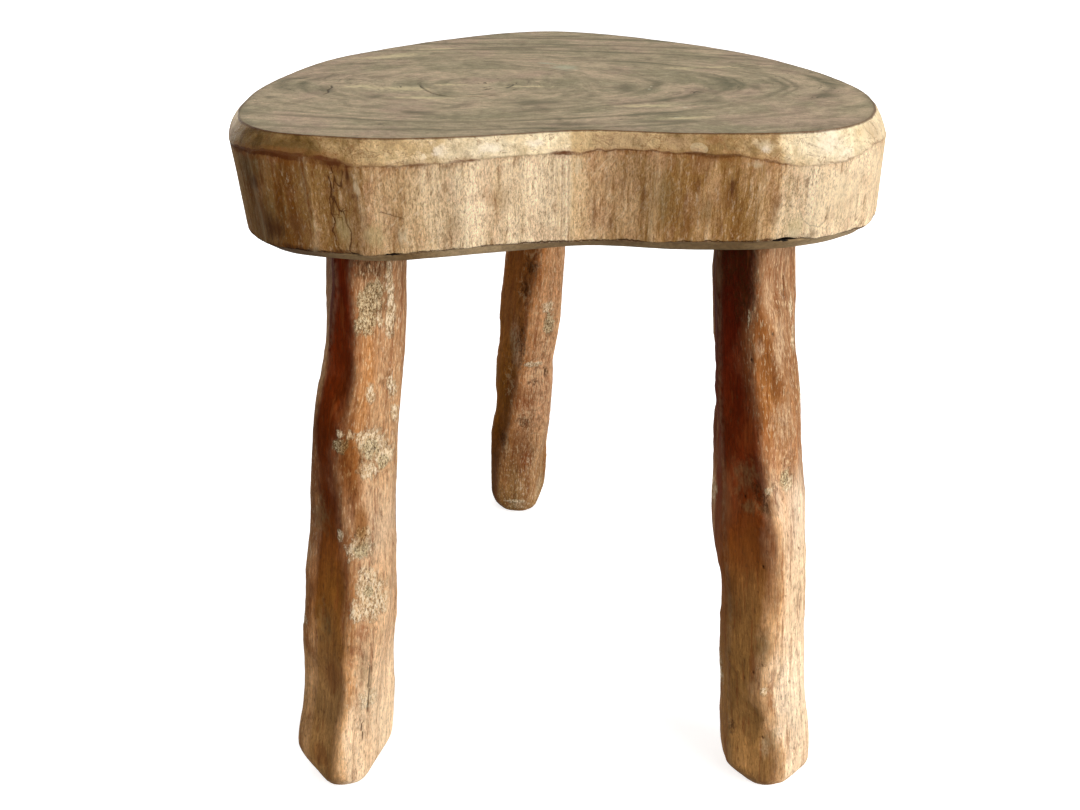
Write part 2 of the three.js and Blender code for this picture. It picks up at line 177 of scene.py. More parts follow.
def make_mesh(name, verts_mm, quads=None, tris=None, smooth_shading=True):
    """An object from points in millimetres and arrays of quads and triangles."""
    verts = np.asarray(verts_mm, np.float32) / 1000.0
    quads = np.zeros((0, 4), np.int32) if quads is None else np.asarray(quads, np.int32)
    tris = np.zeros((0, 3), np.int32) if tris is None else np.asarray(tris, np.int32)
    me = bpy.data.meshes.new(name)
    me.vertices.add(len(verts))
    me.vertices.foreach_set("co", verts.ravel())
    me.loops.add(quads.size + tris.size)
    me.loops.foreach_set("vertex_index", np.concatenate([quads.ravel(), tris.ravel()]))
    me.polygons.add(len(quads) + len(tris))
    start = np.concatenate([np.arange(len(quads)) * 4, quads.size + np.arange(len(tris)) * 3])
    me.polygons.foreach_set("loop_start", start.astype(np.int32))
    me.update(calc_edges=True)
    me.validate()
    if smooth_shading:
        me.polygons.foreach_set("use_smooth", np.ones(len(me.polygons), bool))
    ob = bpy.data.objects.new(name, me)
    bpy.context.collection.objects.link(ob)
    return ob


def face_outwards(me):
    """Turns the faces outwards and counts edges that do not have two faces."""
    bm = bmesh.new()
    bm.from_mesh(me)
    bmesh.ops.recalc_face_normals(bm, faces=bm.faces)
    open_edges = sum(1 for e in bm.edges if len(e.link_faces) != 2)
    bm.to_mesh(me)
    bm.free()
    return open_edges


def coords_mm(me):
    co = np.empty(len(me.vertices) * 3, np.float32)
    me.vertices.foreach_get("co", co)
    return co.reshape(-1, 3).astype(float) * 1000.0


def put(me, name, values):
    """A float attribute on the points."""
    at = me.attributes.new(name, "FLOAT", "POINT")
    at.data.foreach_set("value", np.ascontiguousarray(values, np.float32))


def grid_quads(rows, cols, first=0, wrap=True):
    """Quads between successive closed rings of points."""
    j, i = np.meshgrid(np.arange(rows - 1), np.arange(cols if wrap else cols - 1), indexing="ij")
    a = first + j * cols + i
    b = first + j * cols + (i + 1) % cols
    return np.stack([a, b, b + cols, a + cols], -1).reshape(-1, 4)


# ------------------------------------------------------------------ the slab
N_AROUND = 760
SEAT_DEG = np.arange(N_AROUND) * 360.0 / N_AROUND
n_cut, n_edge, n_fine, n_top = Noise(11), Noise(12), Noise(13), Noise(14)


def ring_xy(radius, degrees):
    a = np.radians(degrees)
    return CENTRE[0] + radius * np.cos(a), CENTRE[1] + radius * np.sin(a)


def girth(degrees):
    """Distance along the wall, counter-clockwise from +X, in millimetres."""
    fine = np.arange(0, 360.01, 0.25)
    x, y = ring_xy(around(TOP_R, fine) + around(GROW_C, fine), fine)
    s = np.concatenate([[0], np.cumsum(np.hypot(np.diff(x), np.diff(y)))])
    return np.interp(np.mod(degrees, 360.0), fine, s), s[-1]


SEAT_S, GIRTH = girth(SEAT_DEG)
# Ridges between the flats that the drawknife left on the wall, in degrees.
_rng = np.random.RandomState(5)
_ridges = [208.0, 222.5, 231.0, 238.5, 253.0, 271.9, 287.0, 303.5, 312.0, 322.0, 333.5, 346.0]
_back = 346.0 + np.cumsum(_rng.uniform(9.0, 17.0, 20))
_ridges += [a - 360 for a in _back if a < 360 + 200]
RIDGE_S = np.sort(girth(np.array(_ridges))[0])
FLAT_CUT = _rng.uniform(0.55, 1.0, len(RIDGE_S) + 1)
_chips = np.sort(np.concatenate([[0], np.cumsum(_rng.uniform(16.0, 46.0, 40))]))
CHIP_S = _chips[_chips < GIRTH - 14]
CHIP_IN = _rng.uniform(-0.45, 0.35, len(CHIP_S) + 1)
CHIP_TILT = _rng.uniform(-0.5, 0.5, len(CHIP_S) + 1)


def between(marks, s):
    """Index of the stretch that s lies in, how far along it is, and its length."""
    m = np.concatenate([[marks[-1] - GIRTH], marks, [marks[0] + GIRTH]])
    k = np.clip(np.searchsorted(m, s, side="right") - 1, 0, len(m) - 2)
    width = m[k + 1] - m[k]
    return (k - 1) % len(marks), (s - m[k]) / width, width


def wall_relief(s, z, deg):
    """How far the wall stands out of its smooth shape at girth s and height z."""
    lean = 2.2 * n_cut(s / 60, z / 30, 3.1)
    k, t, width = between(RIDGE_S, np.mod(s + lean, GIRTH))
    hollow = -FLAT_CUT[k] * 4 * t * (1 - t) * np.minimum(width, 34.0) ** 2 / (8 * 95.0)
    strokes = 0.16 * n_cut(s / 7.0, z / 46, 8.0) + 0.09 * n_fine(s / 2.6, z / 30, 1.0, 2)
    broad = 0.30 * n_cut(s / 34, z / 24, 5.0)
    return hollow + 0.55 + strokes + broad


def chamfer_relief(s, t):
    """Relief of the upper chamfer: overlapping knife cuts. t is 0 at the top edge."""
    skew = (t - 0.5) * 7.0 + 2.0 * n_cut(s / 15, t * 1.5, 21.0)
    k, u, width = between(CHIP_S, np.mod(s + skew, GIRTH))
    flat = CHIP_IN[k] + CHIP_TILT[k] * (t - 0.5) - 0.35 * 4 * u * (1 - u) * (width / 40)
    return 0.75 * flat + 0.16 * n_cut(s / 6, t * 2.2, 27.0, 2) + 0.07 * n_fine(s / 2.2, t * 5, 2.0)


def edge_ease(rows, marks, reach):
    """Weights that ease the profile where it turns: 1 on a corner, 0 away from it."""
    w = np.zeros(len(rows))
    for m in marks:
        w = np.maximum(w, 1 - np.clip(np.abs(rows - m) / reach, 0, 1))
    return w


# How far the wall's foot runs lower, and the rim higher, along the girth.
FOOT_DOWN = ([480, 510, 570, 602, 636, 670, 695, 720, 744, 770], [0.2, 0.4, 0.4, 0.7, 1.1, 0.7, 0.3, 0.2, 0.8, 0.3])
RIM_UP = ([440, 480, 505, 520, 540, 600, 636, 655, 670, 695, 715, 735, 770], [0.0, 0.5, 0.3, -0.3, -0.3, 0.0, 0.2, 1.2, 1.5, 1.4, 0.9, 0.2, 0.0])

# Notches in the wall's foot where the wood broke away: angle, half length, depth.
NOTCHES = [(235.9, 3.6, 1.8), (309.2, 5.2, 2.6), (28.0, 3.0, 1.4), (150.0, 2.6, 1.2)]

# Splits in the flat top, as points in millimetres: one ring check in two pieces,
# and the small broken arc beside the left knot.
CRACKS = [
    [(-64.9, -35.6), (-64.4, -38.6), (-62.3, -44.2), (-59.8, -50.4), (-56.6, -55.6), (-53.4, -58.9), (-49.9, -61.1)],
    [(-41.6, -62.1), (-38.4, -61.4), (-35.4, -62.1), (-32.0, -60.3), (-28.6, -57.2)],
    [(-106.2, -37.0), (-104.3, -42.0), (-105.5, -47.5), (-104.2, -52.5), (-105.8, -58.0)],
]
CRACK_DEEP = [1.5, 0.9, 0.7]


def densify(points, step):
    p = np.asarray(points, float)
    d = np.concatenate([[0], np.cumsum(np.hypot(*np.diff(p, axis=0).T))])
    t = np.linspace(0, d[-1], max(int(round(d[-1] / step)), 2) + 1)
    return np.stack([np.interp(t, d, p[:, 0]), np.interp(t, d, p[:, 1])], -1), t / d[-1]


def line_field(x, y, line):
    """Signed distance to a polyline, and how far along it (0 to 1) the nearest point is."""
    best = np.full(x.shape, 1e9)
    sign = np.ones(x.shape)
    where = np.zeros(x.shape)
    p = np.asarray(line, float)
    cum = np.concatenate([[0], np.cumsum(np.hypot(*np.diff(p, axis=0).T))])
    for i in range(len(p) - 1):
        ax, ay = p[i]
        bx, by = p[i + 1]
        ex, ey = bx - ax, by - ay
        L2 = ex * ex + ey * ey
        t = np.clip(((x - ax) * ex + (y - ay) * ey) / L2, 0, 1)
        dx, dy = x - ax - t * ex, y - ay - t * ey
        d = np.hypot(dx, dy)
        near = d < best
        best = np.where(near, d, best)
        sign = np.where(near, np.sign(ex * dy - ey * dx), sign)
        where = np.where(near, (cum[i] + t * math.sqrt(L2)) / cum[-1], where)
    return best * np.where(sign == 0, 1, sign), where


def top_relief(x, y):
    """Height of the worn top over its flat plane, in millimetres."""
    z = 0.16 * n_top(x / 55, y / 55, 1.0) + 0.05 * n_top(x / 14, y / 9, 4.0, 2)
    r = np.hypot((x + 42.5), (y + 35.4) * 1.0)
    z = z + 0.035 * np.sin(r / 1.15 + 2.5 * n_top(x / 22, y / 22, 9.0))
    z = z - 0.10
    for line, deep in zip(CRACKS, CRACK_DEEP):
        d, t = line_field(x, y, line)
        ends = smooth(0, 0.2, t) * smooth(1, 0.8, t)
        z = z - deep * (0.25 + 0.75 * ends) * (1 - smooth(0.05, 0.55, np.abs(d)))
    return z


def cdt(points, loops, inner=()):
    """Triangles over points (n, 2), inside the first loop and outside the others.
    loops hold indices of points, in order."""
    edges = []
    for loop in loops:
        edges += [(int(a), int(b)) for a, b in zip(loop, np.roll(loop, -1))]
    vs = [Vector((float(p[0]), float(p[1]))) for p in points]
    out = mgeo.delaunay_2d_cdt(vs, edges, [], 0, 1e-7)
    orig = [o[0] if o else -1 for o in out[3]]
    tri = np.array([[orig[i] for i in f] for f in out[2] if len(f) == 3], int)
    tri = tri[(tri >= 0).all(1)]
    mid = points[tri].mean(1)
    keep = inside(mid, points[loops[0]])
    for loop in loops[1:]:
        keep &= ~inside(mid, points[loop])
    tri = tri[keep]
    a, b, c = points[tri[:, 0]], points[tri[:, 1]], points[tri[:, 2]]
    area = (b[:, 0] - a[:, 0]) * (c[:, 1] - a[:, 1]) - (b[:, 1] - a[:, 1]) * (c[:, 0] - a[:, 0])
    tri[area < 0] = tri[area < 0][:, ::-1]
    return tri[np.abs(area) > 1e-9]


def inside(p, poly):
    """True where points p lie inside a closed polygon."""
    x, y = p[:, 0], p[:, 1]
    hit = np.zeros(len(p), bool)
    q = np.roll(poly, -1, axis=0)
    order = np.argsort(y)
    ys = y[order]
    for (ax, ay), (bx, by) in zip(poly, q):
        if ay == by:
            continue
        lo, hi = (ay, by) if ay < by else (by, ay)
        i0, i1 = np.searchsorted(ys, [lo, hi])
        idx = order[i0:i1]
        cross = ax + (y[idx] - ay) / (by - ay) * (bx - ax)
        hit[idx] ^= x[idx] < cross
    return hit


def leg_centre(leg, z):
    return along(leg["x"], z), leg["y"][0] + (z - 10.0) / 280.0 * (leg["y"][1] - leg["y"][0])


def leg_slope(leg):
    ax, ay = leg_centre(leg, 230.0)
    bx, by = leg_centre(leg, 290.0)
    return float(bx - ax) / 60.0, float(by - ay) / 60.0


def axis_at(leg, z):
    sx, sy = leg_slope(leg)
    cx, cy = leg_centre(leg, 290.0)
    return cx + sx * (z - 290.0), cy + sy * (z - 290.0)


def build_seat():
    deg, s = SEAT_DEG, SEAT_S
    top = around(TOP_R, deg) + 0.22 * n_edge(s / 11, 0, 0) + 0.10 * n_edge(s / 3.2, 5, 0)
    drop = around(CHAMFER, deg) + 0.55 * n_edge(s / 9, 0, 7) + 0.3 * n_edge(s / 3.4, 0, 9)
    zc = TOP_Z - drop
    zw = around(WALL_Z, deg) - np.interp(s, *FOOT_DOWN) + 0.22 * n_edge(s / 8, 3, 2)
    zr = around(RIM_Z, deg) + np.interp(s, *RIM_UP)
    gc, gw, gr = around(GROW_C, deg), around(GROW_W, deg), around(GROW_R, deg)
    # Rows down the side: 0..1 chamfer, 1..2 wall, 2..3 lower chamfer.
    u = np.concatenate([
        [0.0, 0.035, 0.08], np.linspace(0.15, 0.85, 9), [0.93, 0.97, 1.0, 1.012, 1.026],
        np.linspace(1.05, 1.955, 32), [1.975, 1.99, 2.0, 2.05, 2.14, 2.3, 2.5, 2.7, 2.86, 3.0]])
    rows = []
    for v in u:
        if v <= 1:
            full = 0.48 + 0.75 * np.interp(deg, [150, 178, 206, 216], [0, 1, 1, 0])
            g = gc * (v + full * v * (1 - v))
            z = TOP_Z + (zc - TOP_Z) * v
            out = chamfer_relief(s, v) * min(1.0, v / 0.1) * 1.0
            soft = 1 - min(abs(v - 1) / 0.07, 1)
            out = out * (1 - soft) + soft * 0.5 * (chamfer_relief(s, 1.0) + wall_relief(s, zc, deg))
            if v < 0.05:
                out = out - (0.05 - v) * 6
        elif v <= 2:
            t = v - 1
            g = gc + (gw - gc) * t
            z = zc + (zw - zc) * t
            out = wall_relief(s, z, deg)
            soft = 1 - min(abs(v - 1) / 0.03, 1)
            out = out * (1 - soft) + soft * 0.5 * (chamfer_relief(s, 1.0) + out)
        else:
            t = v - 2
            g = gw + (gr - gw) * (t ** 0.9)
            z = zw + (zr - zw) * t
            w = wall_relief(s, zw, deg)
            out = w * (1 - smooth(0, 0.8, t)) + 0.2 * n_edge(s / 7, t * 1.3, 31) * t
        for a, half, deep in NOTCHES:
            d = np.abs(((deg - a + 180) % 360) - 180) * 2.3
            n = (1 - smooth(half * 0.75, half, d)) * max(0.0, 1 - abs(v - 2.03) / 0.09)
            out = out - deep * n
        # The two arrises are worn a little round.
        if abs(v - 1) < 0.02:
            out = out - 0.12
        if abs(v - 2) < 0.008:
            out = out - 0.15
        x, y = ring_xy(top + g + out, deg)
        if v == 0:
            z = np.full_like(deg, TOP_Z) - 0.12 + 0.05 * n_edge(s / 6, 1, 1)
        rows.append(np.stack([x, y, np.broadcast_to(z, x.shape)], -1))
    # Two rings in from the rim, down to the flat underside.
    rim_r = top + gr
    for f, zz in ((0.985, 0.45), (0.96, 0.8), (0.93, 1.0)):
        x, y = ring_xy(rim_r * f, deg)
        z = zr + (UNDER_Z - zr) * zz
        rows.append(np.stack([x, y, z], -1))
    side = np.concatenate(rows)
    n_rows = len(rows)
    quads = grid_quads(n_rows, N_AROUND)
    quads = quads[:, ::-1]
    verts = [side]
    count = len(side)
    tris = []

    # Flat top: a staggered grid, closer together along the splits.
    edge = side[:N_AROUND, :2]
    step = 1.22
    gy = np.arange(-145, 125, step * 0.866)
    pts = []
    for j, y in enumerate(gy):
        x = np.arange(-146, 147, step) + (step / 2 if j % 2 else 0)
        pts.append(np.stack([x, np.full_like(x, y)], -1))
    pts = np.concatenate(pts)
    a = np.degrees(np.arctan2(pts[:, 1] - CENTRE[1], pts[:, 0] - CENTRE[0]))
    r = np.hypot(pts[:, 1] - CENTRE[1], pts[:, 0] - CENTRE[0])
    pts = pts[r < around(TOP_R, a) - 1.1]
    extra = []
    for line in CRACKS:
        d, _ = line_field(pts[:, 0], pts[:, 1], line)
        pts = pts[np.abs(d) > 1.25]
        p, t = densify(line, 0.6)
        tang = np.gradient(p, axis=0)
        tang /= np.linalg.norm(tang, axis=1)[:, None]
        nrm = np.stack([-tang[:, 1], tang[:, 0]], -1)
        wob = 0.22 * n_fine(p[:, 0] / 1.7, p[:, 1] / 1.7, 3.3)[:, None]
        for off in (-0.85, -0.42, 0.0, 0.42, 0.85):
            extra.append(p + nrm * (off + wob))
    pts = np.concatenate([pts] + extra)
    allp = np.concatenate([edge, pts])
    t = cdt(allp, [np.arange(N_AROUND)])
    z = TOP_Z + top_relief(pts[:, 0], pts[:, 1])
    d_edge = around(TOP_R, np.degrees(np.arctan2(pts[:, 1] - CENTRE[1], pts[:, 0] - CENTRE[0]))) \
        - np.hypot(pts[:, 1] - CENTRE[1], pts[:, 0] - CENTRE[0])
    z = z - 0.25 * (1 - smooth(0, 3.0, d_edge))
    verts.append(np.column_stack([pts, z]))
    remap = np.concatenate([np.arange(N_AROUND), count + np.arange(len(pts))])
    tris.append(remap[t])
    count += len(pts)

    # Underside with its three mortises.
    low = side[(n_rows - 1) * N_AROUND:, :2]
    step = 2.6
    gy = np.arange(-145, 125, step * 0.866)
    pts = []
    for j, y in enumerate(gy):
        x = np.arange(-146, 147, step) + (step / 2 if j % 2 else 0)
        pts.append(np.stack([x, np.full_like(x, y)], -1))
    pts = np.concatenate(pts)
    keep = inside(pts, CENTRE + (low - CENTRE) * 0.985)
    circles = []
    seg = 64
    ca = np.arange(seg) * 2 * np.pi / seg
    for leg in LEGS.values():
        cx, cy = axis_at(leg, UNDER_Z)
        keep &= np.hypot(pts[:, 0] - cx, pts[:, 1] - cy) > TENON_R + GAP + 1.2
        circles.append(np.stack([cx + (TENON_R + GAP) * np.cos(ca), cy + (TENON_R + GAP) * np.sin(ca)], -1))
    pts = pts[keep]
    allp = np.concatenate([low] + circles + [pts])
    loops = [np.arange(N_AROUND)]
    for k in range(3):
        loops.append(N_AROUND + k * seg + np.arange(seg))
    t = cdt(allp, loops)
    new = np.concatenate(circles + [pts])
    zz = np.full(len(new), UNDER_Z)
    verts.append(np.column_stack([new, zz]))
    remap = np.concatenate([(n_rows - 1) * N_AROUND + np.arange(N_AROUND), count + np.arange(len(new))])
    tris.append(remap[t][:, ::-1])
    first_circle = count
    count += len(new)
    # Mortise walls and blind ends.
    for k, leg in enumerate(LEGS.values()):
        ring = first_circle + k * seg + np.arange(seg)
        prev = ring
        for z in (300.0, 312.0, MORTISE_END):
            cx, cy = axis_at(leg, z)
            verts.append(np.column_stack([cx + (TENON_R + GAP) * np.cos(ca), cy + (TENON_R + GAP) * np.sin(ca), np.full(seg, z)]))
            here = count + np.arange(seg)
            count += seg
            quads = np.concatenate([quads, np.stack([prev, here, np.roll(here, -1), np.roll(prev, -1)], -1)])
            prev = here
        cx, cy = axis_at(leg, MORTISE_END)
        verts.append(np.array([[cx, cy, MORTISE_END]]))
        tris.append(np.stack([prev, np.full(seg, count), np.roll(prev, -1)], -1))
        count += 1
    return make_mesh("seat", np.concatenate(verts), quads, np.concatenate(tris)), n_rows, u


# ------------------------------------------------------------------ the legs
LEG_COLS = 184
LEG_DEG = np.arange(LEG_COLS) * 360.0 / LEG_COLS


def ridges_at(leg, z):
    """Angles and radii of the ridges between the hewn faces, as arrays (heights, ridges)."""
    s = np.asarray(z, float) / 290.0
    ang, rad = [], []
    for k, ridge in enumerate(leg["ridges"]):
        ang.append(along(ridge, z) if isinstance(ridge, list)
                   else ridge + 6 * np.sin(2 * np.pi * (0.9 * s + 0.29 * k) + leg["seed"]))
        rad.append(1 + 0.045 * np.sin(2 * np.pi * (1.3 * s + 0.37 * k) + leg["seed"])
                   + 0.03 * np.sin(2 * np.pi * (2.9 * s + 0.61 * k) + 2.3 * leg["seed"]))
    return np.stack(ang, -1), np.stack(rad, -1)


def section(leg, degrees, z):
    """Unit radius of the section at each height and angle, the face there, how far
    across the face it is (0 to 1), and the face's width as an angle."""
    ang, rad = ridges_at(leg, z)
    n = ang.shape[1]
    th = np.asarray(degrees, float)[None, :]
    shape = (len(ang), th.shape[1])
    r, face, frac, wide = np.ones(shape), np.zeros(shape, int), np.zeros(shape), np.ones(shape)
    for k in range(n):
        a0, a1 = ang[:, k][:, None], ang[:, (k + 1) % n][:, None]
        r0, r1 = rad[:, k][:, None], rad[:, (k + 1) % n][:, None]
        span = np.radians(np.mod(a1 - a0, 360.0))
        frm = np.radians(np.mod(th - a0, 360.0))
        on = frm < span
        r = np.where(on, r0 * r1 * np.sin(span) / (r0 * np.sin(frm) + r1 * np.sin(span - frm)), r)
        face = np.where(on, k, face)
        frac = np.where(on, frm / span, frac)
        wide = np.where(on, span, wide)
    return r, face, frac, wide


def worn(u, soft):
    """The section with its ridges rubbed round, more where soft is nearer 1."""
    reach = np.minimum(LEG_DEG, 360 - LEG_DEG)
    out = []
    for sigma in (6.0, 18.0):
        bell = np.exp(-0.5 * (reach / sigma) ** 2)
        out.append(np.real(np.fft.ifft(np.fft.fft(u, axis=1) * np.fft.fft(bell / bell.sum())[None, :], axis=1)))
    soft = soft[:, None]
    return np.where(soft < 0.5, u + (out[0] - u) * soft * 2, out[0] + (out[1] - out[0]) * (soft * 2 - 1))


# Feet: chisel facets as (azimuth, height at which the facet meets the full leg).
FEET = {
    "front_left": [(184, 20), (222, 19), (262, 13), (300, 12), (342, 15), (25, 14), (70, 15), (110, 16), (148, 18)],
    "front_right": [(196, 11), (232, 13), (274, 10), (318, 13), (358, 14), (40, 12), (82, 13), (122, 13), (160, 12)],
    "rear": [(178, 11), (218, 8), (262, 5), (306, 6), (352, 7), (36, 8), (80, 9), (120, 9), (150, 10)],
}

# Hollows and swellings on the legs: degrees around, height, half width, half height,
# depth (positive cuts in), all in millimetres but the first.
CUTS = {
    "front_left": [
        (288, 262, 8.5, 13.0, 0.9), (281, 244, 6.0, 9.0, 1.0), (266, 213, 7.0, 9.0, 1.7), (306, 195, 7.5, 9.0, 1.0),
        (286, 145, 8.0, 8.0, 1.1), (303, 117, 8.5, 15.0, 1.3), (285, 80, 7.0, 19.0, 1.3), (251, 72, 8.0, 14.0, 1.2),
        (235, 102, 3.5, 10.0, 0.7), (330, 187, 5.0, 8.0, 0.8), (236, 170, 8.0, 22.0, 1.0), (245, 240, 8.0, 30.0, 0.7),
        (322, 150, 7.0, 20.0, 0.8), (318, 226, 7.0, 18.0, 0.7), (254, 38, 9.0, 16.0, 1.0), (262, 120, 5.0, 14.0, 0.9),
        (20, 70, 8, 20, 1.2), (48, 200, 8, 25, 1.1), (88, 120, 9, 22, 1.4), (95, 235, 7, 16, 1.0), (130, 60, 8, 24, 1.2),
        (150, 175, 9, 20, 1.3), (175, 245, 7, 16, 1.0), (182, 110, 8, 18, 1.1), (15, 150, 8, 17, 1.0), (70, 40, 8, 16, 1.1)],
    "front_right": [
        (281, 268, 7.0, 13.0, 1.0), (279, 243, 7.0, 24.0, 0.7), (296, 180, 8.5, 13.0, 1.1), (271, 169, 6.5, 9.0, 1.7),
        (245, 179, 9.0, 13.0, 1.2), (243, 140, 10.0, 16.0, 1.3), (263, 66, 3.2, 4.0, 0.9), (278, 62, 6.0, 14.0, 1.3),
        (271, 39, 6.0, 15.0, 1.1), (309, 118, 7.0, 26.0, 0.8), (232, 235, 8.0, 30.0, 0.9), (240, 84, 9.0, 22.0, 1.1),
        (302, 42, 7.0, 18.0, 0.9), (318, 225, 7.0, 20.0, 0.8), (232, 44, 8.0, 16.0, 0.9), (292, 207, 8.0, 12.0, 0.6),
        (12, 90, 8, 22, 1.2), (35, 185, 8, 20, 1.1), (60, 250, 7, 16, 1.0), (90, 70, 9, 24, 1.3), (105, 160, 8, 18, 1.3),
        (140, 220, 8, 22, 1.2), (160, 110, 9, 20, 1.3), (185, 190, 8, 22, 1.0), (20, 240, 7, 18, 0.9), (195, 60, 8, 20, 1.1)],
    "rear": [
        (261, 207, 5.5, 6.5, 1.0), (248, 191, 5.0, 7.0, 1.0), (311, 168, 5.5, 13.0, 1.2), (288, 127, 10.0, 11.5, 1.3),
        (315, 95, 4.5, 6.5, 1.3), (270, 84, 4.5, 6.0, 1.1), (229, 70, 5.5, 9.0, 1.0), (288, 52, 6.5, 18.0, 0.9),
        (230, 130, 7.0, 20.0, 0.9), (262, 235, 7.0, 20.0, 1.0), (245, 40, 7.0, 14.0, 0.9), (330, 225, 7, 18, 0.9),
        (10, 60, 8, 22, 1.2), (30, 150, 8, 20, 1.2), (60, 230, 7, 22, 1.1), (85, 100, 9, 22, 1.3), (100, 190, 8, 18, 1.2),
        (140, 60, 8, 20, 1.1), (150, 240, 8, 20, 1.0), (165, 150, 8, 22, 1.3), (195, 215, 7, 16, 0.9), (200, 95, 7, 16, 1.0)],
}

